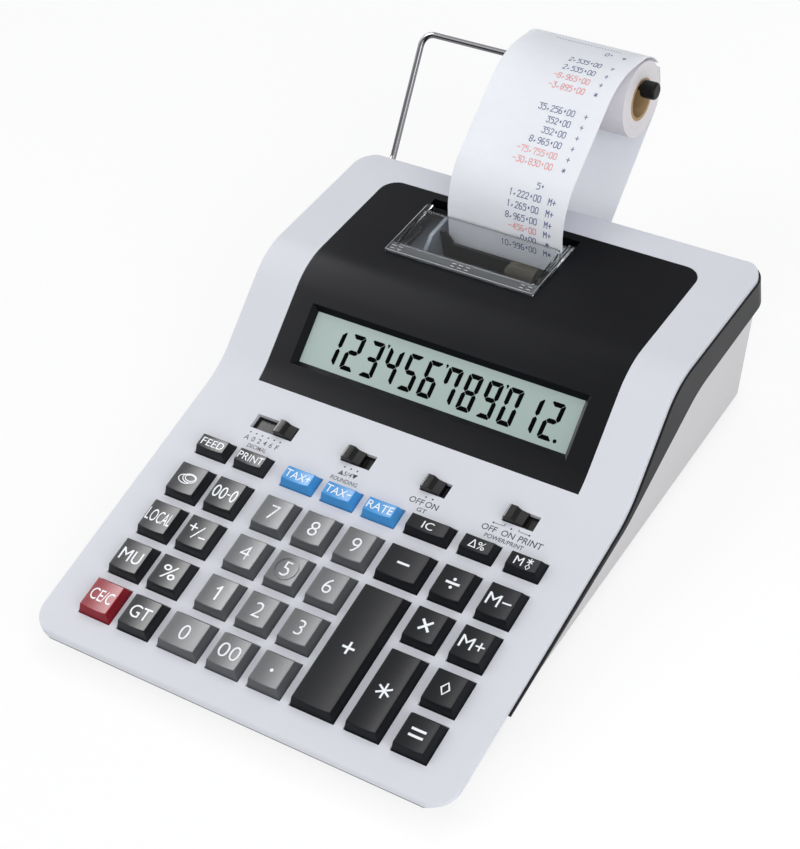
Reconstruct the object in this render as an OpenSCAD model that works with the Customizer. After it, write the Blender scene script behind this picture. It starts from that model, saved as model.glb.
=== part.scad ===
// Desk printing calculator: sloped key deck, raised display and printer housing, paper roll on a wire arm.
// Sizes are in millimetres. X runs to the right, Y to the back, Z up from the table.
// Shapes are drawn with Y counted from the front lip, and in_frame() moves them to the middle of the depth.

/* [Casing] */
// Overall width across the side trim
case_w = 202; // [198:1:212]
// Depth of the upper casing from front lip to rear edge
case_d = 265; // [262:1:280]
// Height of the casing's underside above the table
foot_h = 2.5; // [2:0.5:6]
// Height of the deck's front edge above the casing's underside
front_h = 9.5; // [9.5:0.5:16]
// Tilt of the key deck in degrees
deck_tilt = 9.8; // [9:0.2:11]
// Distance from the front lip to the fold between deck and display slope
fold_y = 140.4; // [139:0.2:144]
// Radius of that fold
fold_r = 45; // [30:1:55]
// Tilt of the display slope in degrees
slope_tilt = 35.7; // [34:0.5:38]
// Distance from the front lip to the crest of the housing
crest_y = 184.9; // [183:0.5:190]
// Radius of the crest
crest_r = 34; // [20:1:36]
// Fall of the printer top towards the rear in degrees
top_fall = 1.8; // [1:0.1:2.5]
// Wall thickness of the casings
wall = 2.2; // [1.8:0.1:2.4]
// Corner radius of the casing seen from above
corner_r = 11; // [6:0.5:14]
// Rounding of the front and rear edges of the upper casing
edge_r = 1.6; // [0.6:0.2:2]

/* [Lower casing and trim] */
// How far the trim stands proud of the upper casing
trim_proud = 1; // [0.5:0.25:2]
// Thickness of the trim
trim_t = 4.5; // [4:0.25:5]
// Distance from the front lip to the thin end of the trim
trim_front_y = 45; // [35:1:60]
// Thickness of the trim at its thin end
trim_tip = 0.6; // [0.4:0.1:2]
// Height of the trim's lower edge above the casing's underside at the rear
shoulder_h = 48.7; // [46:0.5:51]
// Distance from the front lip to the rear bend of the trim's lower edge
trim_bend_y = 200; // [194:1:206]
// Distance from the front lip to the front bend of the trim's lower edge
trim_fold_y = 137; // [130:1:142]
// Height of that front bend above the casing's underside
trim_fold_h = 28.5; // [26:0.5:30]
// Bend radius of the trim's lower edge
trim_bend_r = 50; // [30:1:60]
// Inset of the lower casing below the trim
shoulder_inset = 2.5; // [1.5:0.25:3]
// Inset of the lower casing's foot outline
base_inset = 8.5; // [7:0.5:10]
// Distance from the front lip to the lower casing's front toe
toe_y = 11; // [8:0.5:13]
// Distance from the front lip to the top of the lower casing's front wall
brow_y = 3; // [2:0.5:4]
// Depth of the locating skirt under the upper casing
skirt_h = 5; // [3:0.5:6]
// Thickness of the locating skirt
skirt_t = 1.4; // [1:0.1:2]

/* [Keys] */
// Width of a standard key
key_w = 15.6; // [14:0.2:16.4]
// Depth of a standard key
key_d = 16.8; // [15:0.2:17.4]
// Depth of a low function key
low_key_d = 9.2; // [8:0.2:9.6]
// Width of the wide operator keys
wide_key_w = 20.2; // [18:0.2:21]
// Width of the zero key
zero_key_w = 19.4; // [16:0.2:20]
// Height of the keys above the deck
key_h = 4.6; // [3.6:0.2:7]
// Depth of the hollow across a key's top
key_dish = 0.6; // [0.1:0.1:1]
// Inset of the key tops at the sides
key_taper_x = 1.1; // [0.4:0.1:2]
// Inset of the key tops at the front and back
key_taper_y = 1.6; // [0.4:0.1:2.4]
// Key travel
key_travel = 2.2; // [1.5:0.1:2.2]
// Gap between a key and its hole
key_gap = 0.35; // [0.25:0.05:0.5]
// Reach of the stop ledges beside a key under the deck
key_ledge = 0.8; // [0.6:0.1:0.9]
// Thickness of those ledges
key_ledge_t = 0.8; // [0.6:0.1:1]
// Row pitch along the deck
row_pitch = 20.8; // [20.4:0.1:21]
// Middle of the front row along the deck
front_row_v = 21.9; // [21.5:0.1:23]
// Step from the rear key row to the low function keys
low_row_step = 19.4; // [18.8:0.1:19.6]
// Middle of the leftmost key column
left_x = -75.6; // [-77:0.1:-75]
// Column pitch of the two left columns
left_pitch = 19.7; // [19.4:0.1:20]
// Middle of the first number column
number_x = -31.7; // [-32:0.1:-31]
// Column pitch of the number keys
number_pitch = 20.2; // [19.9:0.1:20.4]
// Middle of the wide operator column
operator_x = 31.4; // [31:0.1:32]
// Middle of the first of the two right columns
right_x = 54.2; // [53.6:0.1:54.6]
// Column pitch of the two right columns
right_pitch = 21.1; // [20.6:0.1:21.6]

/* [Slide switches] */
// Middle of the switch slots along the deck
switch_v = 123.3; // [122.5:0.1:124]
// Depth of a switch slot
slot_d = 7.2; // [6:0.2:7.6]
// Length of a switch knob
knob_l = 9.2; // [8:0.2:10]
// Height of a knob above the deck
knob_h = 3.2; // [2:0.2:4.5]
// Step from one switch position to the next
switch_step = 2.3; // [2:0.1:2.4]
// Gap between a knob and its slot
slot_gap = 0.3; // [0.2:0.05:0.4]

/* [Display] */
// Half width of the display panel
panel_half_w = 78.2; // [75:0.2:79]
// Distance from the front lip to the panel's front edge
panel_front_y = 139.6; // [137:0.2:141]
// Distance of the panel's rear edge before the casing's rear edge
panel_back = 14.5; // [13:0.5:16]
// Radius of the panel's rear corners
panel_r = 8; // [4:0.5:10]
// Gap round the panel
panel_gap = 0.15; // [0.1:0.05:0.3]
// Reach of the panel's ledge under the upper casing
panel_ledge = 3; // [2:0.25:3.5]
// Distance from the front lip to the middle of the display window
lcd_y = 160.6; // [160:0.2:162]
// Width of the display window
window_w = 135.2; // [125:0.2:137]
// Height of the display window along the slope
window_l = 27.6; // [25:0.2:28]
// Bevel of the window's edges
window_bevel = 2.4; // [1:0.2:3]
// Depth of the glass below the panel's face
glass_depth = 2.9; // [2.4:0.1:3.4]
// Thickness of the display glass
glass_t = 2.8; // [1.8:0.1:3.2]
// Width of the ledge that the glass rests against
glass_ledge = 3.4; // [2.4:0.2:3.6]

/* [Printer] */
// Middle of the paper web
paper_x = -9.5; // [-11:0.5:-9]
// Paper width
paper_w = 57; // [54:1:57]
// Drawn thickness of the paper
paper_t = 0.3; // [0.2:0.05:0.4]
// Gap between the paper and what it runs round
paper_gap = 0.35; // [0.3:0.05:0.5]
// Distance of the platen's axis before the casing's rear edge
platen_back = 25.4; // [24:0.2:26]
// Height of the platen's axis above the casing's underside
platen_h = 45.8; // [45:0.2:46.4]
// Radius of the platen
platen_r = 5; // [4:0.25:5.5]
// Radius of the platen's shaft
shaft_r = 2; // [1.5:0.1:2.5]
// Running clearance of shafts and rods
run_gap = 0.05; // [0.03:0.01:0.08]
// Thickness of the printer's side plates
plate_t = 2; // [1.5:0.25:3]
// Height of the printer's base above the casing's underside
printer_base_h = 27.5; // [25:0.5:29]
// Distance of the printer chassis before the casing's rear edge
printer_back = 15; // [13:0.5:16]
// Depth of the printer chassis
printer_d = 38; // [37:0.5:39]
// Radius of the carriage's guide rods
rod_r = 1.5; // [1:0.1:2]
// Middle of the print carriage at rest
carriage_x = 5.5; // [4:0.5:6]
// Width of the print carriage
carriage_w = 20; // [18:0.5:22]
// Radius of the ink roller
ink_r = 5.2; // [4:0.2:5.6]
// Length of the ink roller
ink_l = 13; // [10:0.5:14]

/* [Paper cutter] */
// Left end of the cutter
cutter_left_x = -51.5; // [-53:0.5:-50]
// Right end of the cutter
cutter_right_x = 22; // [21.5:0.5:24]
// Distance of the cutter's front edge before the platen's axis
cutter_back = 33.8; // [32.6:0.2:35.6]
// Width of the cutter's front flange
cutter_flange = 7; // [6.4:0.2:8]
// Thickness of the cutter
cutter_t = 1.3; // [1:0.1:1.8]
// Reach of the window from the cutter's front edge to the tear teeth
tear_v = 29.2; // [27:0.2:29.6]
// Rise of the tear edge above the panel
tear_rise = 3.2; // [2.4:0.2:5]
// Pitch of the tear teeth
tooth_pitch = 1.36; // [1:0.02:2]
// Depth of the tear teeth
tooth_d = 0.8; // [0.4:0.1:1]
// Width of the panel edge that carries the cutter's side flanges
cutter_seat = 1.8; // [1.2:0.1:2]

/* [Paper roll and wire] */
// Distance of the roll's axis behind the upper casing
roll_back = 45; // [42:0.5:50]
// Height of the roll's axis above the table
roll_z = 97; // [95:0.5:102]
// Radius of the paper roll
roll_r = 17; // [14:0.5:18]
// Outer radius of the core
core_r = 9.5; // [9:0.25:11]
// Wall of the core
core_wall = 1.5; // [1:0.1:2]
// Tilt of the web between roll and casing in degrees
web_tilt = 35; // [34:0.5:37]
// Lean of the strip at the tear edge in degrees
strip_lean = 6.4; // [6:0.2:7]
// Tilt of the strip's middle stretch in degrees
strip_tilt = 32; // [30:0.5:34]
// Bend radius of the strip above the tear edge
strip_bend_r = 32; // [26:1:36]
// Bend radius of the strip before the roll
strip_top_r = 34; // [28:1:38]
// Height of the strip above the roll before its crest
strip_lift = 5; // [3:0.5:7]
// Slack between the strip and the roll's top
strip_gap = 1; // [0.6:0.1:1.6]
// Angle above the roll's axis down to which the strip lies on the roll, in degrees
strip_wrap = 32; // [30:1:40]
// Length of the strip past that place
strip_tail = 1.5; // [1:0.1:2]
// Bend radius of the web in the slot
web_bend_r = 5; // [4:0.5:7]
// Radius of the wire
wire_r = 1.4; // [1.2:0.1:1.6]
// Bend radius of the wire
wire_bend_r = 6; // [4:0.5:8]
// Middle of the wire's leg
wire_x = -92; // [-93:0.5:-91]
// Height of the wire's socket above the casing's underside
socket_h = 54.5; // [54:0.25:55.5]
// Depth of the socket
socket_l = 14; // [10:0.5:16]
// Wall of the socket
socket_wall = 2.4; // [1.6:0.2:2.6]
// Length of the wire's end cap
cap_l = 7; // [6:0.5:10]
// Radius of the end cap
cap_r = 3.9; // [3:0.1:4.2]
// Gap between the paper and the end cap
cap_gap = 1; // [0.8:0.1:2]

/* [Feet, screws and boards] */
// Radius of a rubber foot
foot_r = 6; // [4:0.5:8]
// Depth of the recess that holds a foot
foot_recess = 0.6; // [0.4:0.1:0.8]
// Distance of the front feet from the front lip
front_foot_y = 26; // [22:1:40]
// Distance of the rear feet from the rear edge
rear_foot_back = 44; // [40:1:60]
// Sideways place of the feet
foot_x = 78; // [60:1:80]
// Radius of a case screw's shank
screw_r = 1.4; // [1.2:0.1:1.6]
// Radius of a case screw's head
screw_head_r = 2.8; // [2.4:0.1:3]
// Wall of the screw posts
post_wall = 2.2; // [1.6:0.1:2.4]
// Thickness of the circuit boards
board_t = 1.2; // [1:0.1:1.6]
// Thickness of the key mat's sheet
mat_t = 0.6; // [0.5:0.1:0.8]
// Height of the mat's domes when pressed
dome_h = 0.8; // [0.5:0.1:1]
// Radius of a dome
dome_r = 3; // [2:0.25:4]

/* [Hidden] */
$fn = 48;

// Colours of the plastics, metals and paper
white = "#dcdee2";
light_grey = "#d3d3d6";
charcoal = "#26272a";
black = "#1a1b1d";
number_grey = "#7f8487";
dark_grey = "#3a3b3d";
blue = "#3f7fc8";
red = "#a8222f";

// Small clearances and overshoots
seat_gap = 0.1;
board_gap = 0.2;
board_side_gap = 4.5;
board_margin = 1;
board_post_in = 28;
board_post_back = 6;
post_gap = 0.6;
cut = 1;

// Derived heights of the casing
deck_z = foot_h + front_h;
fold_z = deck_z + fold_y * tan(deck_tilt);
crest_z = fold_z + (crest_y - fold_y) * tan(slope_tilt);
rear_z = crest_z - (case_d - crest_y) * tan(top_fall);
shoulder_z = foot_h + shoulder_h;
floor_z = foot_h + wall;
rim_half_w = case_w / 2 - trim_proud;
panel_rear_y = case_d - panel_back;
platen_y = case_d - platen_back;
printer_rear_y = case_d - printer_back;
printer_front_y = printer_rear_y - printer_d;
deck_t = wall * cos(deck_tilt);

skirt_inset = trim_t - trim_proud + 0.3;
socket_r = wire_r + socket_wall;

// Derived places of the paper, the roll and the wire
roll_y = case_d + roll_back;
web_r = roll_r + paper_gap + paper_t / 2;
overall_d = roll_y + web_r + paper_t / 2;
platen_z = foot_h + platen_h;
wrap_r = platen_r + paper_gap + paper_t / 2;
slot_z = platen_z - wrap_r;
core_bore_r = core_r - core_wall;
wire_drop = paper_gap;
bar_z = roll_z + core_bore_r - wire_r - wire_drop;
socket_z = foot_h + socket_h;
leg_y = case_d + trim_proud + wire_bend_r;
leg_tilt = atan2(bar_z - socket_z, roll_y - leg_y);
cutter_front_y = platen_y - cutter_back;
paper_left_x = paper_x - paper_w / 2;
paper_right_x = paper_x + paper_w / 2;

// Small vector helpers
function unit(v) = v / norm(v);
function cross_z(a, b) = a[0] * b[1] - a[1] * b[0];
function ray(angle) = [cos(angle), sin(angle)];
function meet(p, d, q, e) = p + d * cross_z(q - p, e) / cross_z(d, e);
function back(list) = [for (i = [len(list) - 1:-1:0]) list[i]];
function shift(list, v) = [for (p = list) p + v];

// Points of the arc of radius r that rounds the corner b between a and c
function corner(a, b, c, r, n) =
    let (u = unit(a - b), w = unit(c - b), half = acos(u * w) / 2,
         m = b + unit(u + w) * r / sin(half), s = b + u * r / tan(half) - m, e = b + w * r / tan(half) - m,
         start = atan2(s[1], s[0]), turn = atan2(cross_z(s, e), s * e))
    [for (i = [0:n]) m + r * ray(start + turn * i / n)];

// Polyline whose inner corners are rounded by the given radii
function bent(pts, radii, n = 8) =
    [pts[0], for (i = [1:len(pts) - 2]) each corner(pts[i - 1], pts[i], pts[i + 1], radii[i - 1], n),
     pts[len(pts) - 1]];

// Outline of a sheet of thickness t whose middle follows a path
function step_dir(path, i) = unit(path[min(i + 1, len(path) - 1)] - path[max(i - 1, 0)]);
function side_of(path, t) =
    [for (i = [0:len(path) - 1]) let (d = step_dir(path, i)) path[i] + [-d[1], d[0]] * t];
function sheet_outline(path, t) = concat(side_of(path, t / 2), back(side_of(path, -t / 2)));

// Side view of the upper casing: lip, deck, fold, display slope, crest and printer top
top_line = bent([[0, deck_z], [fold_y, fold_z], [crest_y, crest_z], [case_d, rear_z]], [fold_r, crest_r], 10);
top_face = concat(
    corner([0, 0], [0, deck_z], [fold_y, fold_z], edge_r, 4),
    [for (i = [1:len(top_line) - 2]) top_line[i]],
    corner([crest_y, crest_z], [case_d, rear_z], [case_d, 0], edge_r, 4));

// Side view of the trim's lower edge, from its thin end to the rear
function deck_at(y) = deck_z + y * tan(deck_tilt);
trim_line = bent(
    [[trim_front_y, deck_at(trim_front_y) - wall - trim_tip], [trim_fold_y, foot_h + trim_fold_h],
     [trim_bend_y, shoulder_z], [case_d + trim_proud, shoulder_z]],
    [trim_bend_r, trim_bend_r]);

// Height of the printer top
function top_at(y) = crest_z - (y - crest_y) * tan(top_fall);

// Side view of the paper: round the roll, into the casing, round the platen, past the tear edge
// and over the roll again
strip_before = 0.8;
roll_axis = [roll_y, roll_z];
web_end = roll_axis + web_r * ray(web_tilt - 90);
web_slot = meet(web_end, ray(web_tilt), [0, slot_z], [1, 0]);
platen_corner = [platen_y - wrap_r * tan(45 + strip_lean / 2), slot_z];
strip_top = roll_axis + [-roll_r - strip_before, roll_r + strip_lift];
strip_bend = meet(platen_corner, ray(90 - strip_lean), strip_top, ray(strip_tilt));
drape_r = web_r + strip_gap;
strip_reach = strip_top - roll_axis;
strip_touch = atan2(strip_reach[1], strip_reach[0]) - acos(drape_r / norm(strip_reach));
strip_crest = roll_axis
    + drape_r / cos((strip_touch - strip_wrap) / 2) * ray((strip_touch + strip_wrap) / 2);
strip_end = roll_axis + drape_r * ray(strip_wrap) + strip_tail * ray(strip_wrap - 90);
paper_line = bent(
    [roll_axis + [web_r, roll_r / 3], roll_axis + web_r * [1, -tan(45 - web_tilt / 2)], web_slot,
     platen_corner, strip_bend, strip_top, strip_crest, strip_end],
    [web_r, web_bend_r, wrap_r, strip_bend_r, strip_top_r, drape_r]);

// Key columns and rows
function column_x(i) =
    i < 2 ? left_x + i * left_pitch :
    i < 5 ? number_x + (i - 2) * number_pitch :
    i == 5 ? operator_x : right_x + (i - 6) * right_pitch;
function row_v(j) = j == 0 ? front_row_v + 3 * row_pitch + low_row_step : front_row_v + (4 - j) * row_pitch;
function column_w(i) = i == 5 ? wide_key_w : key_w;

// A key's record: name, middle across, middle along the deck, width, depth, colour
function low_key(name, i, tint) = [name, column_x(i), row_v(0), column_w(i), low_key_d, tint];
function full_key(name, i, j, tint) = [name, column_x(i), row_v(j), column_w(i), key_d, tint];
function tall_key(name, i, j, tint) =
    [name, column_x(i), (row_v(j) + row_v(4)) / 2, column_w(i), key_d + row_v(j) - row_v(4), tint];

LOW_KEYS = [
    low_key("key_feed", 0, dark_grey), low_key("key_print", 1, dark_grey),
    low_key("key_tax_plus", 2, blue), low_key("key_tax_minus", 3, blue), low_key("key_rate", 4, blue),
    low_key("key_item_count", 5, black), low_key("key_delta_percent", 6, black),
    low_key("key_memory_total", 7, black)];
LEFT_KEYS = [
    full_key("key_currency", 0, 1, dark_grey), full_key("key_shift", 1, 1, dark_grey),
    full_key("key_local", 0, 2, dark_grey), full_key("key_sign", 1, 2, dark_grey),
    full_key("key_markup", 0, 3, dark_grey), full_key("key_percent", 1, 3, dark_grey),
    full_key("key_clear", 0, 4, red), full_key("key_grand_total", 1, 4, dark_grey)];
NUMBER_KEYS = [
    for (n = [1:9]) full_key(str("key_", n), 2 + (n - 1) % 3, 3 - floor((n - 1) / 3), number_grey),
    ["key_0", column_x(2) + (key_w - zero_key_w) / 2, row_v(4), zero_key_w, key_d, number_grey],
    full_key("key_00", 3, 4, number_grey), full_key("key_point", 4, 4, number_grey)];
RIGHT_KEYS = [
    full_key("key_minus", 5, 1, black), tall_key("key_plus", 5, 2, black),
    full_key("key_divide", 6, 1, black), full_key("key_multiply", 6, 2, black),
    tall_key("key_total", 6, 3, black),
    full_key("key_memory_minus", 7, 1, black), full_key("key_memory_plus", 7, 2, black),
    full_key("key_subtotal", 7, 3, black), full_key("key_equals", 7, 4, black)];
KEYS = concat(LOW_KEYS, LEFT_KEYS, NUMBER_KEYS, RIGHT_KEYS);

// A switch's record: name, middle of its slot, number of positions, position shown
SWITCHES = [["decimal_knob", -57.9, 6, 5], ["rounding_knob", -15.2, 3, 0],
            ["total_knob", 22.5, 2, 0], ["power_knob", 62.4, 3, 0]];
function slot_l(s) = knob_l + switch_step * (s[2] - 1) + 2 * slot_gap;
function knob_x(s) = s[1] + switch_step * (s[3] - (s[2] - 1) / 2);

// Depths below the deck's face, counted square to it
ledge_top = deck_t + seat_gap;
ledge_low = ledge_top + key_ledge_t;
dome_top = ledge_low + key_travel + board_gap;
mat_top = dome_top + dome_h;
board_top = mat_top + mat_t;
board_low = board_top + board_t;
board_front_v = front_row_v - key_d / 2;
board_rear_v = row_v(0) + low_key_d / 2 + board_margin;
board_half_w = case_w / 2 - base_inset - wall - board_side_gap;
board_post_x = board_half_w - board_post_in;
BOARD_POSTS = [
    for (x = [-board_post_x, 0, board_post_x],
         v = [front_row_v + 1.5 * row_pitch, row_v(0) - board_post_back]) [x, v]];

// Screw posts: place and height of the joint between the two casings' posts
post_r = screw_r + post_wall;
boss_r = post_r + post_gap;
mid_post_y = board_rear_v * cos(deck_tilt) + board_low * sin(deck_tilt) + boss_r + post_gap;
rear_post_x = panel_half_w + panel_ledge + boss_r + 0.2;
rear_post_back = 25;
rear_post_y = case_d - rear_post_back;
mid_post_in = 14;
mid_post_x = rim_half_w - mid_post_in;
mid_post_h = 17;
rear_post_h = 34;
POSTS = [
    for (side = [-1, 1]) each [
        [side * mid_post_x, mid_post_y, mid_post_h], [side * rear_post_x, rear_post_y, rear_post_h]]];
support_r = 3;
head_seat_h = 5;
head_t = 2;
FEET = [for (x = [-foot_x, foot_x], y = [front_foot_y, case_d - rear_foot_back]) [x, y]];

// Printer chassis
printer_base_z = foot_h + printer_base_h;
chassis_margin = 4;
chassis_left_x = paper_left_x - chassis_margin;
chassis_right_x = paper_right_x + chassis_margin;
chassis_drop = 1.6;
chassis_top_z = top_at(platen_y) - wall - chassis_drop;
gear_w = 12;
gear_left_x = chassis_left_x - gear_w;
rod_before = 17.6;
rod_y = platen_y - rod_before;
rod_rise = 9;
rod_pitch = 8;
rod_low_z = printer_base_z + rod_rise;
rod_high_z = rod_low_z + rod_pitch;
ink_before = 14;
ink_rise = 8.6;
ink_axis = [platen_y - ink_before, platen_z + ink_rise];
ink_pin_r = 1.5;
carriage_reach = 6;
carriage_front_y = rod_y - carriage_reach;
carriage_gap = 1.4;
carriage_rear_y = platen_y - wrap_r - paper_t - carriage_gap;
printer_post_in = 6;
PRINTER_POSTS = [
    for (x = [chassis_left_x + printer_post_in, chassis_right_x - printer_post_in],
         y = [printer_front_y + printer_post_in, printer_rear_y - printer_post_in]) [x, y]];
motor_l = 20;
motor_r = 8;
guide_gap = 0.3;
guide_t = 1.3;
guide_rise = 3.2;
guide_h = 4.5;
guide_arm_w = 4;
guide_rear_y = platen_y - wrap_r - guide_gap;
guide_low_z = platen_z + guide_rise;
guide_high_z = guide_low_z + guide_h;
guide_arm_z = chassis_top_z - 1;

// Adapter inlet at the back
inlet_x = 56;
inlet_h = 16;
inlet_z = foot_h + inlet_h;
inlet_hole_r = 4.2;
inlet_r = 2.8;
inlet_size = [9, 13, 11];
inlet_nose_r = 3.9;
inlet_nose_back = 0.2;
power_board = [34, 26];

// Places every shape so that the origin is under the middle of the whole object
module in_frame() translate([0, -overall_d / 2, 0]) children();

// A side view extruded across the width, about x
module across(w, x = 0) translate([x, 0, 0]) rotate([90, 0, 90])
    linear_extrude(height = w, center = true) children();

// Places children on the deck, at x across and v along it, with Z square to the deck
module on_deck(x, v) translate([0, 0, deck_z]) rotate([deck_tilt, 0, 0]) translate([x, v, 0]) children();

// Places children on the display slope at the middle of the window
module on_slope() translate([0, lcd_y, fold_z + (lcd_y - fold_y) * tan(slope_tilt)])
    rotate([slope_tilt, 0, 0]) children();

// Places children on the printer top at the cutter's front edge
module on_top() translate([0, cutter_front_y, top_at(cutter_front_y)]) rotate([-top_fall, 0, 0]) children();

// A block from one corner to the other
module block(a, b) translate(a) cube(b - a);

// A flat rectangle with round corners
module rounded(x0, x1, y0, y1, r) {
    translate([x0 + r, y0]) square([x1 - x0 - 2 * r, y1 - y0]);
    translate([x0, y0 + r]) square([x1 - x0, y1 - y0 - 2 * r]);
    for (x = [x0 + r, x1 - r], y = [y0 + r, y1 - r]) translate([x, y]) circle(r);
}

// The casing seen from above, drawn in by an inset
module plan(inset)
    rounded(-rim_half_w + inset, rim_half_w - inset, inset, case_d - inset, max(corner_r - inset, 1));

// The panel seen from above, grown by an amount, square at the front and round at the back
module panel_plan(grow) {
    w = panel_half_w + grow;
    r = panel_r + grow;
    translate([-w, panel_front_y - grow]) square([2 * w, panel_rear_y - panel_front_y + 2 * grow - r]);
    rounded(-w, w, panel_rear_y + grow - 3 * r, panel_rear_y + grow, r);
}

// Stands a plan view up to the full height of the casing
module upright() linear_extrude(height = crest_z + cut) children();

// A layer that follows the upper casing's side view, from one depth below its face to another
module layer(d0, d1, w) across(w) polygon(concat(shift(top_face, [0, -d0]), back(shift(top_face, [0, -d1]))));

// The four case screw posts
module at_posts() for (p = POSTS) translate([p[0], p[1], 0]) children();

module key_hole(k) on_deck(k[1], k[2])
    cube([k[3] + 2 * key_gap, k[4] + 2 * key_gap, 4 * wall], center = true);

module switch_slot(s) on_deck(s[1], switch_v) cube([slot_l(s), slot_d, 4 * wall], center = true);

// Skirt behind the tall part of the trim, with a notch for the wire's socket
module skirt() difference() {
    intersection() {
        upright() difference() {
            plan(skirt_inset);
            plan(skirt_inset + skirt_t);
        }
        layer(wall, wall + skirt_h, case_w);
        block([-case_w, crest_y - 15, 0], [case_w, case_d, 2 * crest_z]);
    }
    translate([wire_x, case_d, socket_z]) rotate([90, 0, 0]) cylinder(r = socket_r + 0.4, h = socket_l + 6);
}

module top_casing() color(white) in_frame() {
    difference() {
        intersection() {
            layer(0, wall, case_w);
            upright() plan(0);
        }
        upright() panel_plan(panel_gap);
        for (k = KEYS) key_hole(k);
        for (s = SWITCHES) switch_slot(s);
    }
    skirt();
    difference() {
        for (p = POSTS) intersection() {
            translate([p[0], p[1], foot_h + p[2]]) cylinder(r = post_r, h = crest_z);
            across(case_w) polygon(concat(shift(top_face, [0, -wall]), [[case_d, 0], [0, 0]]));
        }
        for (p = POSTS) translate([p[0], p[1], foot_h + p[2] - cut])
            cylinder(r = screw_r + run_gap, h = screw_grip + 2 * cut);
    }
}
screw_grip = 8;

// Side view of the lower casing, drawn in by a wall and opened upwards for its hollow
base_rear_y = case_d + trim_proud - base_inset;
shoulder_rear_y = case_d + trim_proud - shoulder_inset;
function rear_wall_at(z) = base_rear_y + (shoulder_rear_y - base_rear_y) * (z - foot_h) / shoulder_h;
brow_z = deck_at(brow_y) - wall;

module lower_side() {
    polygon(concat(
        [[toe_y, foot_h], [brow_y, brow_z]],
        [[trim_front_y - seat_gap, deck_at(trim_front_y - seat_gap) - wall]],
        [for (i = [0:len(trim_line) - 2]) trim_line[i]],
        [[shoulder_rear_y, shoulder_z], [base_rear_y, foot_h]]));
}

module lower_hollow_side() {
    rise = crest_z;
    lean = (toe_y - brow_y) / (brow_z - foot_h);
    front = toe_y + wall * sqrt(1 + lean * lean);
    polygon([[front - lean * wall, floor_z], [front - lean * rise, foot_h + rise],
             [rear_wall_at(foot_h + rise) - wall, foot_h + rise], [rear_wall_at(floor_z) - wall, floor_z]]);
}

// One level of the lower casing's slanted walls, drawn in by an inset
module lower_level(z, inset) {
    slant = (base_inset - shoulder_inset) / shoulder_h;
    w = case_w / 2 - base_inset - inset + slant * (z - foot_h);
    rear = rear_wall_at(z) - inset;
    translate([0, 0, z]) linear_extrude(height = 0.01)
        rounded(-w, w, -corner_r - wall, rear, max(corner_r - shoulder_inset - inset, 1), $fn = 32);
}

module lower_shell() difference() {
    intersection() {
        hull() {
            lower_level(foot_h, 0);
            lower_level(shoulder_z, 0);
        }
        across(case_w) lower_side();
        upright() plan(shoulder_inset - trim_proud);
    }
    intersection() {
        hull() {
            lower_level(floor_z, wall);
            lower_level(crest_z, wall);
        }
        across(2 * case_w) lower_hollow_side();
    }
}

// A post from the floor that ends against the underside of the tilted key board
module board_post(x, v) intersection() {
    translate([x, v * cos(deck_tilt) + board_low * sin(deck_tilt), floor_z - cut])
        cylinder(r = support_r, h = crest_z);
    on_deck(x, v) block([-20, -20, -crest_z], [20, 20, -board_low]);
    block([-case_w, 0, foot_h + cut], [case_w, case_d, crest_z]);
}

module bottom_casing() color(light_grey) in_frame() difference() {
    union() {
        lower_shell();
        for (p = POSTS) translate([p[0], p[1], foot_h + cut]) cylinder(r = boss_r, h = p[2] - cut);
        for (p = BOARD_POSTS) board_post(p[0], p[1]);
        for (p = PRINTER_POSTS) translate([p[0], p[1], foot_h + cut])
            cylinder(r = support_r, h = printer_base_h - cut);
        for (p = POWER_POSTS) translate([p[0], p[1], foot_h + cut])
            cylinder(r = support_r, h = power_board_z - foot_h - cut);
    }
    for (p = POSTS) translate([p[0], p[1], 0]) {
        cylinder(r = screw_r + 0.2, h = crest_z);
        cylinder(r = screw_head_r + 0.3, h = foot_h + head_seat_h);
    }
    for (p = FEET) translate([p[0], p[1], 0]) cylinder(r = foot_r + seat_gap, h = foot_h + foot_recess);
    block([paper_left_x - 2, rear_wall_at(slot_z) - 4 * wall, slot_z - 2.2],
          [paper_right_x + 2, case_d + cut, slot_z + 3.4]);
    translate([inlet_x, rear_wall_at(inlet_z) + 2 * wall, inlet_z]) rotate([90, 0, 0])
        cylinder(r = inlet_hole_r, h = 4 * wall);
}

// Side view of the trim, up to the underside of the upper casing
module trim_side() {
    under = [for (p = back(top_face)) if (p[0] > trim_front_y) p - [0, wall]];
    polygon(concat(
        trim_line,
        [[case_d + trim_proud, under[0][1]]],
        under,
        [[trim_front_y, deck_at(trim_front_y) - wall]]));
}

// A ring seen from above, from the trim's outer face inwards
module trim_ring(t) upright() difference() {
    plan(-trim_proud);
    plan(t - trim_proud);
}

// Rear band and its two tapering arms, with a flange on the lower casing's edge and the socket for the wire
module side_trim() color(charcoal) in_frame() difference() {
    union() {
        intersection() {
            trim_ring(trim_t);
            across(case_w) trim_side();
        }
        intersection() {
            trim_ring(base_inset + 0.5);
            across(case_w) trim_side();
            across(case_w) polygon(concat(trim_line, back(shift(trim_line, [0, trim_flange]))));
        }
        translate([wire_x, case_d - 0.5, socket_z]) rotate([90, 0, 0]) cylinder(r = socket_r, h = socket_l);
    }
    translate([wire_x, case_d + trim_proud + cut, socket_z]) rotate([90, 0, 0])
        cylinder(r = wire_r + run_gap, h = socket_l + cut);
}
trim_flange = 1.6;

// Bevelled window opening, from the panel's face down to the glass
module window_cut() {
    hull() {
        block([-window_w / 2, -window_l / 2, 0.02], [window_w / 2, window_l / 2, 4]);
        block([-window_w / 2 + window_bevel, -window_l / 2 + window_bevel, -glass_depth],
              [window_w / 2 - window_bevel, window_l / 2 - window_bevel, -glass_depth + 0.02]);
    }
}

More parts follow.
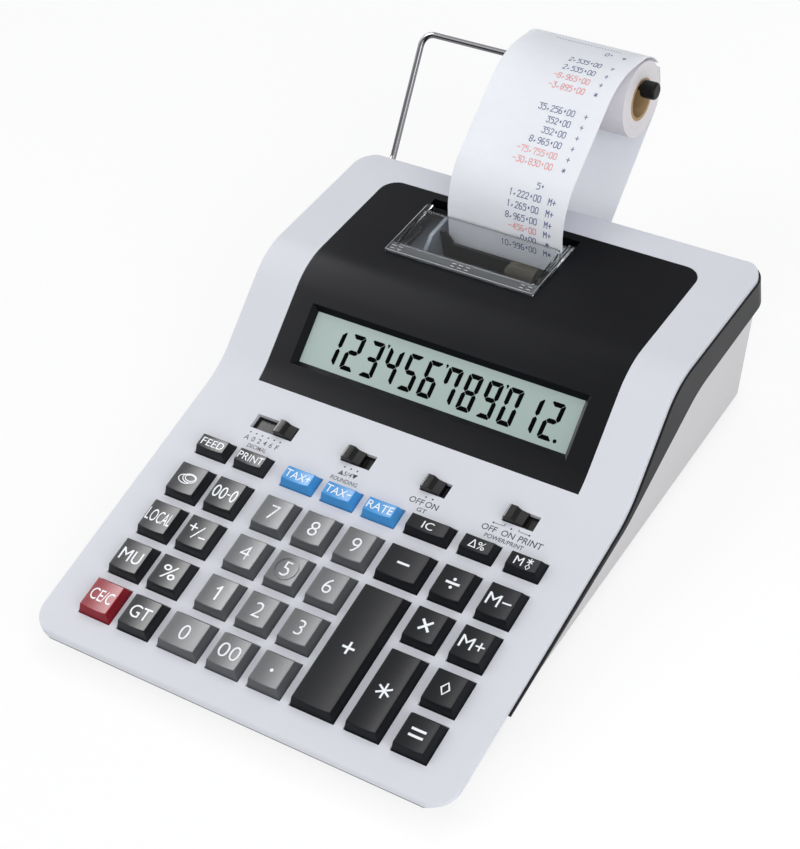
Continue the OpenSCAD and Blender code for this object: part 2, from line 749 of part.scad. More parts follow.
glass_half_w = window_w / 2 - window_bevel + glass_ledge;
glass_half_l = window_l / 2 - window_bevel + glass_ledge;
holder_wall = 2;

// Opening of the panel over the printer, wider behind the tear edge
opening_left_x = cutter_left_x + cutter_seat;
opening_right_x = cutter_right_x - cutter_seat;
opening_front_y = cutter_front_y + cutter_flange - 1.4;
opening_rear_y = cutter_front_y + tear_v + 11.5;
opening_step_y = cutter_front_y + tear_v + 6.4;

module printer_opening() {
    block([opening_left_x, opening_front_y, 0], [opening_right_x, opening_rear_y, 2 * crest_z]);
    block([cutter_left_x, opening_step_y, 0], [cutter_right_x, opening_rear_y, 2 * crest_z]);
}

module display_panel() color(black) in_frame() difference() {
    union() {
        intersection() {
            layer(0, wall, case_w);
            upright() panel_plan(0);
        }
        intersection() {
            layer(wall, wall + 1.4, case_w);
            upright() panel_plan(panel_ledge);
        }
        on_slope() block(
            [-glass_half_w - holder_wall, -glass_half_l - holder_wall, -glass_depth - glass_t],
            [glass_half_w + holder_wall, glass_half_l + holder_wall, -wall / 2]);
    }
    on_slope() window_cut();
    on_slope() block([-glass_half_w - seat_gap, -glass_half_l - seat_gap, -glass_depth - glass_t - cut],
                     [glass_half_w + seat_gap, glass_half_l + seat_gap, -glass_depth]);
    printer_opening();
}

module lcd_module() color("#a5b7ad") in_frame() on_slope()
    block([-glass_half_w, -glass_half_l, -glass_depth - glass_t], [glass_half_w, glass_half_l, -glass_depth]);

// Hollow line across a key's top, from right to left
function dish(half, n = 8) =
    [for (i = [0:n]) let (u = 1 - 2 * i / n) [half * u, key_h - key_dish * (1 - u * u)]];

// Key in its deck frame: ledge under the deck, shank through the hole, tapered cap with a hollow top
module key_solid(w, d) intersection() {
    rotate([90, 0, 0]) linear_extrude(height = d, center = true) polygon(concat(
        [[-w / 2 - key_ledge, -ledge_low], [w / 2 + key_ledge, -ledge_low], [w / 2 + key_ledge, -ledge_top],
         [w / 2, -ledge_top], [w / 2, 0]],
        dish(w / 2 - key_taper_x),
        [[-w / 2, 0], [-w / 2, -ledge_top], [-w / 2 - key_ledge, -ledge_top]]));
    across(w + 4 * key_ledge) polygon([
        [-d / 2, -ledge_low], [d / 2, -ledge_low], [d / 2, 0], [d / 2 - key_taper_y, key_h],
        [-d / 2 + key_taper_y, key_h], [-d / 2, 0]]);
}

module key(k) color(k[5]) in_frame() on_deck(k[1], k[2]) key_solid(k[3], k[4]);

// Knob: ridge with a ramp to the right, shank in the slot, sliding plate that closes the slot from below
module knob(s) color(black) in_frame() on_deck(knob_x(s), switch_v) {
    half = knob_l / 2;
    plate = slot_l(s) - half + 0.8;
    d = slot_d - 2 * slot_gap;
    ridge = knob_l * 0.45;
    rotate([90, 0, 0]) linear_extrude(height = d, center = true) polygon(concat(
        [[half, -ledge_top - cut], [half, 0.5]],
        [[-half + ridge + 1.6, knob_h * 0.45]],
        corner([-half + ridge + 1.6, knob_h * 0.45], [-half + ridge, knob_h], [-half, knob_h], 0.8, 4),
        corner([-half + ridge, knob_h], [-half + 0.6, knob_h], [-half, 0], 1.2, 4),
        [[-half, 0], [-half, -ledge_top - cut]]));
    block([-plate, -d / 2 - 1, -ledge_low - cut], [plate, d / 2 + 1, -ledge_top - seat_gap]);
}

module key_mat() color("#c9c6bd") in_frame() {
    on_deck(0, 0) block([-board_half_w, board_front_v, -board_top], [board_half_w, board_rear_v, -mat_top]);
    for (k = KEYS) on_deck(k[1], k[2]) translate([0, 0, -mat_top - mat_t / 2])
        cylinder(r1 = dome_r + 0.6, r2 = dome_r, h = dome_h + mat_t / 2);
}

power_board_z = inlet_z - inlet_size[2] / 2 - board_t;
power_rear_y = rear_wall_at(power_board_z) - wall - 0.6;
inlet_mouth_y = rear_wall_at(inlet_z) - inlet_nose_back;
inlet_bore_l = inlet_mouth_y - power_rear_y + inlet_size[1] - 2;
POWER_POSTS = [for (side = [-1, 1])
    [inlet_x + side * (power_board[0] / 2 - 4), power_rear_y - power_board[1] / 2]];

module circuit_boards() color("#2f5b3a") in_frame() {
    on_deck(0, 0) block([-board_half_w, board_front_v, -board_low], [board_half_w, board_rear_v, -board_top]);
    difference() {
        union() {
            block([inlet_x - power_board[0] / 2, power_rear_y - power_board[1], power_board_z],
                  [inlet_x + power_board[0] / 2, power_rear_y, power_board_z + board_t]);
            block([inlet_x - inlet_size[0] / 2, power_rear_y - inlet_size[1], power_board_z],
                  [inlet_x + inlet_size[0] / 2, power_rear_y, inlet_z + inlet_size[2] / 2]);
            translate([inlet_x, inlet_mouth_y, inlet_z]) rotate([90, 0, 0])
                cylinder(r = inlet_nose_r, h = inlet_mouth_y - power_rear_y + cut);
        }
        translate([inlet_x, inlet_mouth_y + cut, inlet_z]) rotate([90, 0, 0])
            cylinder(r = inlet_r, h = inlet_bore_l + cut);
    }
}

// Chassis: base, two side plates, guide rods, paper guide, gear case and motor at the left
module side_plate(x) across(plate_t, x) polygon([
    [printer_front_y, printer_base_z], [printer_rear_y, printer_base_z], [printer_rear_y, slot_z + 12],
    [platen_y + 4, chassis_top_z], [platen_y - 12, chassis_top_z], [printer_front_y, rod_high_z + 5]]);

module lengthwise(y, z, x0, x1, r) translate([x0, y, z]) rotate([0, 90, 0]) cylinder(r = r, h = x1 - x0);

// Paper guide: a bar across the chassis and a slanting arm at its left
module paper_guide() translate([0, guide_rear_y, 0]) rotate([90, 0, 0]) linear_extrude(height = guide_t) {
    polygon([
        [chassis_left_x, guide_low_z], [chassis_right_x, guide_low_z], [chassis_right_x, guide_high_z],
        [chassis_left_x, guide_high_z]]);
    polygon([
        [paper_left_x, guide_high_z - cut], [paper_left_x + guide_arm_w, guide_high_z - cut],
        [chassis_left_x + guide_arm_w, guide_arm_z], [chassis_left_x, guide_arm_z],
        [chassis_left_x, guide_arm_z - guide_arm_w]]);
}

module printer_frame() color(dark_grey) in_frame() difference() {
    union() {
        block([chassis_left_x - plate_t / 2, printer_front_y, printer_base_z],
              [chassis_right_x + plate_t / 2, printer_rear_y, printer_base_z + plate_t]);
        side_plate(chassis_left_x);
        side_plate(chassis_right_x);
        for (z = [rod_low_z, rod_high_z]) lengthwise(rod_y, z, chassis_left_x, chassis_right_x, rod_r);
        block([gear_left_x, printer_front_y + 2, printer_base_z],
              [chassis_left_x, printer_rear_y - 2, platen_z + 5]);
        paper_guide();
        lengthwise(rod_y + 2, printer_base_z + 11, gear_left_x - motor_l, gear_left_x + cut, motor_r);
    }
    lengthwise(platen_y, platen_z, gear_left_x + 3, chassis_right_x + plate_t, shaft_r + run_gap);
}

module platen_roller() color("#1d1e20") in_frame() {
    lengthwise(platen_y, platen_z, paper_left_x - 1, paper_right_x + 1, platen_r);
    lengthwise(platen_y, platen_z, gear_left_x + 3.5, chassis_right_x + plate_t / 2 + 1, shaft_r);
}

// Carriage block on its rods, with two ears and a pin for the ink roller
carriage_low_z = rod_low_z - rod_r - 2.4;
carriage_high_z = rod_high_z + rod_r + 2.4;
ear_t = 1.6;
ear_x = ink_l / 2 + 0.3 + ear_t / 2;

module carriage_ear(side) across(ear_t, carriage_x + side * ear_x) polygon(concat(
    [[carriage_front_y, carriage_high_z - 1], [carriage_rear_y, carriage_high_z - 1]],
    [for (a = [0:15:180]) ink_axis + 2 * ink_pin_r * ray(a)]));

module print_carriage() color(black) in_frame() difference() {
    union() {
        block([carriage_x - carriage_w / 2, carriage_front_y, carriage_low_z],
              [carriage_x + carriage_w / 2, carriage_rear_y, carriage_high_z]);
        for (side = [-1, 1]) carriage_ear(side);
        lengthwise(ink_axis[0], ink_axis[1], carriage_x - ear_x, carriage_x + ear_x, ink_pin_r);
    }
    for (z = [rod_low_z, rod_high_z])
        lengthwise(rod_y, z, carriage_x - carriage_w, carriage_x + carriage_w, rod_r + run_gap);
}

module ink_roller() color("#7b7366") in_frame() difference() {
    lengthwise(ink_axis[0], ink_axis[1], carriage_x - ink_l / 2, carriage_x + ink_l / 2, ink_r);
    lengthwise(ink_axis[0], ink_axis[1], carriage_x - ink_l, carriage_x + ink_l, ink_pin_r + run_gap);
}

// Clear cutter: flange frame, sloping window with tear teeth, two cheeks that reach into the opening
window_left_x = opening_left_x + 0.4;
window_right_x = opening_right_x - 0.4;
window_w_x = window_right_x - window_left_x;
window_x = (window_left_x + window_right_x) / 2;
window_start_v = cutter_flange - 2;
window_end_v = tear_v - tooth_d;
window_low = tear_rise - cutter_t;
cutter_sink = 0.25;
window_rise = atan2(window_low - cutter_sink, window_end_v - window_start_v);
cutter_arm_v = tear_v + 6;
cutter_x = (cutter_left_x + cutter_right_x) / 2;
tooth_lap = 1;
tooth_skin = 0.15;
teeth_w = window_w_x - 2 * cutter_t - 0.4;
teeth = floor(teeth_w / tooth_pitch);

// Flat frame that lies on the panel: front flange and two side arms
module cutter_frame() translate([0, 0, seat_gap]) linear_extrude(height = cutter_t - seat_gap) {
    arm = 0.3 * cutter_t;
    polygon([
        [cutter_left_x, 0], [cutter_right_x, 0], [cutter_right_x, cutter_arm_v],
        [window_right_x - arm, cutter_arm_v], [window_right_x - arm, cutter_flange],
        [window_left_x + arm, cutter_flange], [window_left_x + arm, cutter_arm_v],
        [cutter_left_x, cutter_arm_v]]);
}

module cutter_window() across(window_w_x - 1.2 * cutter_t, window_x) polygon([
    [window_start_v, cutter_sink], [window_end_v, window_low], [window_end_v, window_low + cutter_t],
    [window_start_v, cutter_sink + cutter_t]]);

// Row of tear teeth, set into the window's edge
module cutter_teeth() translate([window_x, window_end_v, window_low + tooth_skin]) rotate([window_rise, 0, 0])
    linear_extrude(height = cutter_t - 2 * tooth_skin) polygon(concat(
        [[teeth_w / 2, -tooth_lap], [-teeth_w / 2, -tooth_lap]],
        [for (i = [0:teeth - 1]) each [
            [(i / teeth - 0.5) * teeth_w, 0],
            [((i + 0.5) / teeth - 0.5) * teeth_w, tooth_d]]],
        [[teeth_w / 2, 0]]));

module cutter_cheek(x) across(cutter_t, x) polygon([
    [cutter_flange - 1, -3.5], [tear_v - 7, -5], [tear_v - 1.8, -1],
    [tear_v - 1.4, window_low + cutter_t / 2], [cutter_flange - 1, cutter_sink + cutter_t / 2]]);

// Raised grip marks on the front flange: two columns near each end, three in the middle
GRIPS = [for (x = [cutter_left_x + 3, cutter_left_x + 6.4, cutter_x - 3.4, cutter_x, cutter_x + 3.4,
                   cutter_right_x - 6.4, cutter_right_x - 3], v = [1.6, 3.4]) [x, v]];

module paper_cutter() color("#c8ccd0", 0.5) in_frame() on_top() {
    cutter_frame();
    cutter_window();
    cutter_teeth();
    cutter_cheek(window_left_x + cutter_t / 2);
    cutter_cheek(window_right_x - cutter_t / 2);
    for (g = GRIPS) translate([g[0] - 1.2, g[1] - 0.4, cutter_t / 2]) cube([2.4, 0.8, cutter_t / 2 + 0.4]);
}

// A bend of the wire in the XY plane, starting along Y at the origin and turning right
module wire_elbow(angle) translate([wire_bend_r, 0, 0]) rotate([0, 0, 180 - angle])
    rotate_extrude(angle = angle) translate([wire_bend_r, 0]) circle(wire_r + bend_swell);

bend_swell = 0.03;
bend_lap = 0.3;
bar_end_x = paper_right_x + cap_gap + cap_l;
leg_l = norm([roll_y - leg_y, bar_z - socket_z]);
elbow_run = wire_bend_r * tan(leg_tilt / 2);

module wire_holder() color("silver") in_frame() {
    plug_y = case_d + trim_proud - socket_l + 0.5;
    translate([wire_x, plug_y, socket_z]) rotate([-90, 0, 0])
        cylinder(r = wire_r, h = leg_y - elbow_run + bend_lap - plug_y);
    translate([wire_x, leg_y - elbow_run, socket_z]) rotate([0, -90, 0]) wire_elbow(leg_tilt);
    translate([wire_x, leg_y, socket_z]) rotate([leg_tilt, 0, 0]) {
        translate([0, elbow_run - bend_lap, 0]) rotate([-90, 0, 0])
            cylinder(r = wire_r, h = leg_l - elbow_run - wire_bend_r + 2 * bend_lap);
        translate([0, leg_l - wire_bend_r, 0]) wire_elbow(90);
        translate([wire_bend_r - bend_lap, leg_l, 0]) rotate([0, 90, 0])
            cylinder(r = wire_r, h = bar_end_x - 1.5 - wire_x - wire_bend_r + bend_lap);
    }
}

module wire_cap() color(black) in_frame() difference() {
    lengthwise(roll_y, bar_z, bar_end_x - cap_l, bar_end_x, cap_r);
    lengthwise(roll_y, bar_z, bar_end_x - cap_l - cut, bar_end_x - 1.4, wire_r + run_gap);
}

module paper_roll() color("#f1f1f4") in_frame() difference() {
    lengthwise(roll_y, roll_z, paper_left_x, paper_right_x, roll_r);
    lengthwise(roll_y, roll_z, paper_left_x - cut, paper_right_x + cut, core_r + run_gap);
}

module roll_core() color("#a98f6a") in_frame() difference() {
    lengthwise(roll_y, roll_z, paper_left_x, paper_right_x, core_r);
    lengthwise(roll_y, roll_z, paper_left_x - cut, paper_right_x + cut, core_bore_r);
}

module paper_strip() color("#f4f4f7") in_frame() across(paper_w, paper_x)
    polygon(sheet_outline(paper_line, paper_t));

module rubber_feet() color("#2b2b2b") in_frame()
    for (p = FEET) translate([p[0], p[1], 0]) cylinder(r = foot_r, h = foot_h + foot_recess);

module case_screws() color("silver") in_frame() for (p = POSTS)
    translate([p[0], p[1], foot_h + head_seat_h]) {
        translate([0, 0, -head_t]) cylinder(r = screw_head_r, h = head_t);
        translate([0, 0, -cut / 2]) cylinder(r = screw_r, h = p[2] - head_seat_h + screw_grip);
    }

top_casing();
bottom_casing();
side_trim();
display_panel();
lcd_module();
circuit_boards();
key_mat();
printer_frame();
platen_roller();
print_carriage();
ink_roller();
paper_cutter();
wire_holder();
wire_cap();
paper_roll();
roll_core();
paper_strip();
rubber_feet();
case_screws();
for (s = SWITCHES) knob(s);
for (k = KEYS) key(k);
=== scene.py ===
# %% [markdown]
# # A desk printing calculator, dressed for its portrait
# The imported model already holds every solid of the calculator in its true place: casings, keys, switch
# knobs, printer, cutter, wire, roll and paper. This lesson gives those solids their plastics, metal and
# paper, rounds their edges, and adds what is only printed on them: key legends, switch marks, display
# digits and the printed list on the paper strip. It starts by loading the frame, because every later step
# is placed by its boxes.

# %% Load the frame
import math

import bmesh
import bpy
from mathutils import Matrix, Vector


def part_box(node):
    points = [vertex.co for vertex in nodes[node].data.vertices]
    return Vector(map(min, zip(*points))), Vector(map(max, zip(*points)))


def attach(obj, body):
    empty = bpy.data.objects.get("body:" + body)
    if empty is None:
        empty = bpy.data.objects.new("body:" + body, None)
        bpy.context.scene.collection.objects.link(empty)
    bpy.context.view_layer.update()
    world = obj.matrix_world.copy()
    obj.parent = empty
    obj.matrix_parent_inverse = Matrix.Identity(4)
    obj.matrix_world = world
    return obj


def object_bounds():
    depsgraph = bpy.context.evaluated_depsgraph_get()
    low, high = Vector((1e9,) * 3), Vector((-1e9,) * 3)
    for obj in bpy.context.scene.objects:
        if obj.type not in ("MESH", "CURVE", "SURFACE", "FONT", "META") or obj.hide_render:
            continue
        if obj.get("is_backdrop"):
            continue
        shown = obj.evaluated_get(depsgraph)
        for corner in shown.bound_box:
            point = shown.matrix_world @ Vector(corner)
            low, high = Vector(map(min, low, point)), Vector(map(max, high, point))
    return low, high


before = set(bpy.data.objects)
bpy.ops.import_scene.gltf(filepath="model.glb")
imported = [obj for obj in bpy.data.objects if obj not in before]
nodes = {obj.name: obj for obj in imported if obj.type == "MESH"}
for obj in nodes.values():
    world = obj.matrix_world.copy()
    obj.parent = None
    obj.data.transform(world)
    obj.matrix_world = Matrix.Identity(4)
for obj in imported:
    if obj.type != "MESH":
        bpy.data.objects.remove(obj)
cad_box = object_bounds()
MM = 0.001

# %% [markdown]
# Three small helpers save typing in every later cell. One puts an object into the scene, one adds a node and
# sets its options and input values, and one draws links from rows of node, output, node and input.


# %% Helpers for objects and nodes
def placed(name, data):
    obj = bpy.data.objects.new(name, data)
    bpy.context.scene.collection.objects.link(obj)
    return obj


def add(tree, kind, inputs=None, **options):
    node = tree.nodes.new(kind)
    for label, value in options.items():
        setattr(node, label, value)
    for label, value in (inputs or {}).items():
        node.inputs[label].default_value = value
    return node


def wire(tree, *rows):
    for source, output, target, entry in rows:
        tree.links.new(source.outputs[output], target.inputs[entry])


print("helpers: placed, add, wire")

# %% [markdown]
# ## The photographer's place
# The camera stands in front of the right front corner and looks down, through a long lens. Its three axes
# and its place were worked out from the casing's corners, the key rows and the display window, so they are
# written as plain numbers: where the picture's right and up point in the room, and where the lens is.

# %% Camera
RIGHT = Vector((0.83553618, 0.53524529, -0.1240636))
UP = Vector((-0.29893914, 0.63231589, 0.71471114))
AHEAD = Vector((-0.46099315, 0.56007955, -0.68832857))
LENS_AT = (0.396, -0.51177, 0.63992)
SENSOR, FOCAL_PIXELS, PICTURE_HEIGHT = 36, 2115.93, 849
lens = bpy.data.cameras.new("studio_lens")
lens.sensor_width = SENSOR
lens.lens = FOCAL_PIXELS * SENSOR / PICTURE_HEIGHT
camera = placed("studio_camera", lens)
turn = Matrix((RIGHT, UP, -AHEAD)).transposed().to_4x4()
camera.matrix_world = Matrix.Translation(LENS_AT) @ turn
bpy.context.scene.camera = camera
bpy.context.scene.view_settings.view_transform = "Standard"
print("camera", [round(v, 3) for v in camera.location], "lens", round(lens.lens, 1), "mm")

# %% [markdown]
# ## Floor, sky and lamps
# The picture has a white ground that keeps only a faint shadow. The floor is part diffuse and part glowing
# for what the camera, the gloss and the clear plastic see: it is white where light falls, and a little grey
# under the object. The sky is bright for the same three kinds of rays, and dimmer as a light. Soft boxes do
# the modelling, and a small one close by on the left is seen in gloss only: it draws the sheen over the key
# tops.


# %% What the lens sees
def seen_by_lens(tree):
    rays = add(tree, "ShaderNodeLightPath")
    seen = (rays, "Is Camera Ray")
    for label in ("Is Glossy Ray", "Is Transmission Ray"):
        either = add(tree, "ShaderNodeMath", operation="MAXIMUM")
        wire(tree, (*seen, either, 0), (rays, label, either, 1))
        seen = (either, 0)
    return seen


def bare_tree(owner):
    owner.use_nodes = True
    owner.node_tree.nodes.clear()
    return owner.node_tree


print("floor and sky share one mask for camera, glossy and transmission rays")

# %% Floor
FLOOR_HALF, FLOOR_Z = 6, cad_box[0][2] - 0.0002
FLOOR_TINT, GLOW_SHARE, GLOW = (0.9, 0.9, 0.905, 1), 0.72, 1.06
corners = [(x * FLOOR_HALF, y * FLOOR_HALF, FLOOR_Z) for x, y in ((-1, -1), (1, -1), (1, 1), (-1, 1))]
mesh = bpy.data.meshes.new("studio_floor")
mesh.from_pydata(corners, [], [(0, 1, 2, 3)])
floor = placed("studio_floor", mesh)
paint = bpy.data.materials.new("studio_white")
tree = bare_tree(paint)
out = add(tree, "ShaderNodeOutputMaterial")
blend = add(tree, "ShaderNodeMixShader")
matt = add(tree, "ShaderNodeBsdfDiffuse", {"Color": FLOOR_TINT})
glow = add(tree, "ShaderNodeEmission", {"Color": (1, 1, 1, 1), "Strength": GLOW})
share = add(tree, "ShaderNodeMath", {1: GLOW_SHARE}, operation="MULTIPLY")
wire(tree, (*seen_by_lens(tree), share, 0), (share, 0, blend, 0), (matt, 0, blend, 1), (glow, 0, blend, 2),
     (blend, 0, out, 0))
floor.data.materials.append(paint)
floor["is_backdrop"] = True
print("floor at", round(FLOOR_Z, 4))

# %% Sky
SKY_TINT, SKY_LIGHT = (0.95, 0.97, 1, 1), 0.42
world = bpy.data.worlds.new("studio_sky")
bpy.context.scene.world = world
tree = bare_tree(world)
out = add(tree, "ShaderNodeOutputWorld")
blend = add(tree, "ShaderNodeMixShader")
dim = add(tree, "ShaderNodeBackground", {0: SKY_TINT, 1: SKY_LIGHT})
bright = add(tree, "ShaderNodeBackground", {1: 1})
wire(tree, (*seen_by_lens(tree), blend, 0), (dim, 0, blend, 1), (bright, 0, blend, 2), (blend, 0, out, 0))
print("sky of strength", SKY_LIGHT)


# %% Lamps
def soft_box(name, place, size, watts, aim=(0, 0, 0.04)):
    lamp = bpy.data.lights.new(name, "AREA")
    lamp.shape = "RECTANGLE"
    lamp.size, lamp.size_y = size
    lamp.energy = watts
    obj = placed(name, lamp)
    obj.location = place
    obj.rotation_euler = (Vector(aim) - Vector(place)).to_track_quat("-Z", "Y").to_euler()
    return obj


boxes = [("left_box", (-0.75, -0.45, 0.95), (0.7, 0.9), 3.1),
         ("top_box", (0.05, 0.55, 1.25), (1.2, 0.7), 4.7),
         ("right_box", (0.9, -0.4, 0.5), (0.5, 0.9), 3.8),
         ("sheen_box", (-0.55, 0.06, 0.36), (0.5, 0.44), 11.0, (-0.05, -0.06, 0.02)),
         ("front_box", (0.4, -0.85, 0.42), (0.5, 0.4), 1.3, (0.05, 0.1, 0.1))]
lamps = {name: soft_box(name, *values) for name, *values in boxes}
lamps["sheen_box"].visible_diffuse = False
print("lamps", list(lamps))

# %% [markdown]
# ## Shared surface effects
# Moulded plastic is never one flat colour. The mould's fine spark texture breaks up its gloss, the pigment
# clouds a little, and hands polish some patches. These three effects serve nearly every piece, so they are
# one node group with its own scales, read on Object coordinates: the pieces sit at the origin, so the grain
# keeps its real size.


# %% Moulded skin group
def group_with(name, inputs, outputs):
    group = bpy.data.node_groups.new(name, "ShaderNodeTree")
    for label, value in inputs:
        socket = group.interface.new_socket(label, in_out="INPUT", socket_type="NodeSocketFloat")
        socket.default_value = value
    for label in outputs:
        group.interface.new_socket(label, in_out="OUTPUT", socket_type="NodeSocketFloat")
    return group, add(group, "NodeGroupInput"), add(group, "NodeGroupOutput")


def noise_in(group, coords, scale, detail=2.0):
    noise = add(group, "ShaderNodeTexNoise", {"Detail": detail})
    wire(group, (*coords, noise, "Vector"), (*scale, noise, "Scale"))
    return noise, 0


skin, given, result = group_with(
    "moulded_skin", [("Grain per metre", 2200), ("Cloud per metre", 45), ("Rub per metre", 14)],
    ["Grain", "Cloud", "Rub"])
place = (add(skin, "ShaderNodeTexCoord"), "Object")
for k, detail in enumerate((1.0, 3.0, 2.0)):
    wire(skin, (*noise_in(skin, place, (given, k), detail), result, k))
print("group", skin.name)

# %% [markdown]
# Paper, card and drawn wire share another effect: fibres or draw lines that run along one direction. The
# group stretches its noise along X, which is the way the paper's width and the roll's axis run.

# %% Fibre group
fibre, given, result = group_with(
    "long_fibre", [("Fibre per metre", 900), ("Stretch", 0.12), ("Cloud per metre", 60)], ["Fibre", "Cloud"])
place = (add(fibre, "ShaderNodeTexCoord"), "Object")
combine = add(fibre, "ShaderNodeCombineXYZ", {1: 1, 2: 1})
stretch = add(fibre, "ShaderNodeVectorMath", operation="MULTIPLY")
wire(fibre, (given, "Stretch", combine, 0), (*place, stretch, 0), (combine, 0, stretch, 1),
     (*noise_in(fibre, (stretch, 0), (given, 0), 3.0), result, "Fibre"),
     (*noise_in(fibre, place, (given, 2)), result, "Cloud"))
print("group", fibre.name)

# %% [markdown]
# Each finish lets one effect choose between two tones, a second one between two roughnesses, and a third one
# raise a fine bump of a given depth and strength. One helper makes all of those links. Colours are written as
# they look on a screen, from 0 to 255, and turned into linear light.


# %% Material helpers
NOISE_LOW, NOISE_HIGH = 0.3, 0.7


def linear(*colour):
    shares = [c / 255 for c in colour]
    return tuple(c / 12.92 if c <= 0.04045 else ((c + 0.055) / 1.055) ** 2.4 for c in shares)


def start_material(name, **settings):
    mat = bpy.data.materials.new(name)
    mat.use_nodes = True
    bsdf = mat.node_tree.nodes["Principled BSDF"]
    for label, value in settings.items():
        bsdf.inputs[label.replace("_", " ")].default_value = value
    return mat, mat.node_tree


def masks_of(tree, group, labels, scales):
    node = add(tree, "ShaderNodeGroup", scales, node_tree=group)
    return [(node, label) for label in labels]


def surface(tree, masks, tones, rough, bump):
    bsdf = tree.nodes["Principled BSDF"]
    low, high = [(*tone, 1) for tone in tones]
    limits = {"From Min": NOISE_LOW, "From Max": NOISE_HIGH, "To Min": rough[0], "To Max": rough[1]}
    mix = add(tree, "ShaderNodeMix", {"A": low, "B": high}, data_type="RGBA")
    span = add(tree, "ShaderNodeMapRange", limits)
    dent = add(tree, "ShaderNodeBump", {"Distance": bump[0], "Strength": bump[1]})
    wire(tree, (*masks[0], mix, "Factor"), (mix, "Result", bsdf, "Base Color"), (*masks[1], span, "Value"),
         (span, "Result", bsdf, "Roughness"), (*masks[2], dent, "Height"), (dent, "Normal", bsdf, "Normal"))


print("helpers: linear, start_material, masks_of, surface")

# %% [markdown]
# ## Plastics
# The casing halves are two batches of pale grey, the upper one cooler. The panel and the band are charcoal
# with a fine spark texture. Keys are satin plastic in three greys and two accents, glossier than the casing,
# because fingers polish them. Each row gives a colour, how far its tone spreads, its roughness, how much it
# reflects, and the grain: dimples per metre, their depth and their strength.


# %% Plastics
SPARK, INK_GRAIN = (2200, 0.00002, 0.12), (3000, 0.00001, 0.05)
SKIN_MASKS = ("Cloud", "Rub", "Grain")


def moulded(name, colour, spread, rough, shine=0.5, grain=SPARK):
    mat, tree = start_material(name, Specular_IOR_Level=shine)
    base = linear(*colour)
    tones = [tuple(min(1, c * (1 + k * spread)) for c in base) for k in (-1, 1)]
    surface(tree, masks_of(tree, skin, SKIN_MASKS, {"Grain per metre": grain[0]}), tones, rough, grain[1:])
    return mat


plastics = [
    ("upper_casing", (221, 222, 229), 0.02, (0.4, 0.5), 0.06),
    ("lower_casing", (212, 211, 212), 0.02, (0.42, 0.52), 0.2),
    ("trim", (24, 25, 28), 0.1, (0.4, 0.52), 0.2, (3000, 0.00002, 0.2)),
    ("panel", (12, 13, 17), 0.12, (0.36, 0.46), 0.07, (3000, 0.00002, 0.25)),
    ("number_key", (80, 81, 84), 0.05, (0.4, 0.5), 0.44),
    ("dark_key", (24, 25, 29), 0.08, (0.34, 0.44), 0.26),
    ("black_key", (19, 20, 24), 0.1, (0.36, 0.46), 0.12),
    ("blue_key", (62, 148, 214), 0.05, (0.36, 0.46), 0.3),
    ("red_key", (134, 14, 32), 0.05, (0.36, 0.46), 0.3),
    ("chassis", (20, 20, 22), 0.12, (0.45, 0.6), 0.25),
    ("knob", (14, 14, 16), 0.1, (0.18, 0.28), 0.25),
    ("cap", (11, 11, 12), 0.1, (0.32, 0.42), 0.16),
    ("platen_rubber", (30, 30, 32), 0.1, (0.6, 0.75), 0.3),
    ("feet_rubber", (44, 44, 45), 0.1, (0.65, 0.8)),
    ("mat", (200, 196, 186), 0.05, (0.5, 0.65)),
    ("ink_foam", (64, 59, 50), 0.2, (0.75, 0.9), 0.2, (900, 0.0002, 0.6)),
    ("printer", (20, 20, 22), 0.12, (0.4, 0.6), 0.25),
    ("board", (44, 92, 58), 0.12, (0.4, 0.6), 0.25),
]
finish = {name: moulded(name, *values) for name, *values in plastics}
print(len(finish), "moulded finishes")

# %% [markdown]
# Three solids carry two tones each. The printer's frame is black plastic between two grey steel side
# plates, and the green circuit boards carry the black adapter inlet. The upper casing's lowest band along its
# rim is painted darker: a painted shade for the shadow in the gap under the lip. A step on one Object
# coordinate lays the second colour over the solid, because each border is a plane.


# %% Two-tone solids and the painted rim shade
PLATE_OUT, INLET_DEPTH, RIM_SHADE_HEIGHT, STEP_WIDTH = 2.8 * MM, 16 * MM, 0.6 * MM, 0.1 * MM


def lay_over(name, colour, axis, border, after):
    tree = finish[name].node_tree
    bsdf = tree.nodes["Principled BSDF"]
    own = bsdf.inputs["Base Color"].links[0].from_node
    low, high = (0.0, 1.0) if after else (1.0, 0.0)
    limits = {"From Min": border, "From Max": border + STEP_WIDTH, "To Min": low, "To Max": high}
    coords = add(tree, "ShaderNodeTexCoord")
    split = add(tree, "ShaderNodeSeparateXYZ")
    mask = add(tree, "ShaderNodeMapRange", limits)
    tone = add(tree, "ShaderNodeMix", {"B": (*linear(*colour), 1)}, data_type="RGBA")
    wire(tree, (coords, "Object", split, 0), (split, axis, mask, "Value"), (mask, "Result", tone, "Factor"),
         (own, "Result", tone, "A"), (tone, "Result", bsdf, "Base Color"))
    print(name, "changes tone at", axis, round(border / MM, 1), "mm")


lay_over("printer", (138, 144, 152), "X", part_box("paper_strip")[0].x - PLATE_OUT, False)
lay_over("board", (20, 20, 22), "Y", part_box("circuit_boards")[1].y - INLET_DEPTH, True)
# Painted shade: the upper casing's lowest band is darker, for the shadow in the gap under its lip.
lay_over("upper_casing", (120, 120, 122), "Z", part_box("top_casing")[0].z + RIM_SHADE_HEIGHT, False)
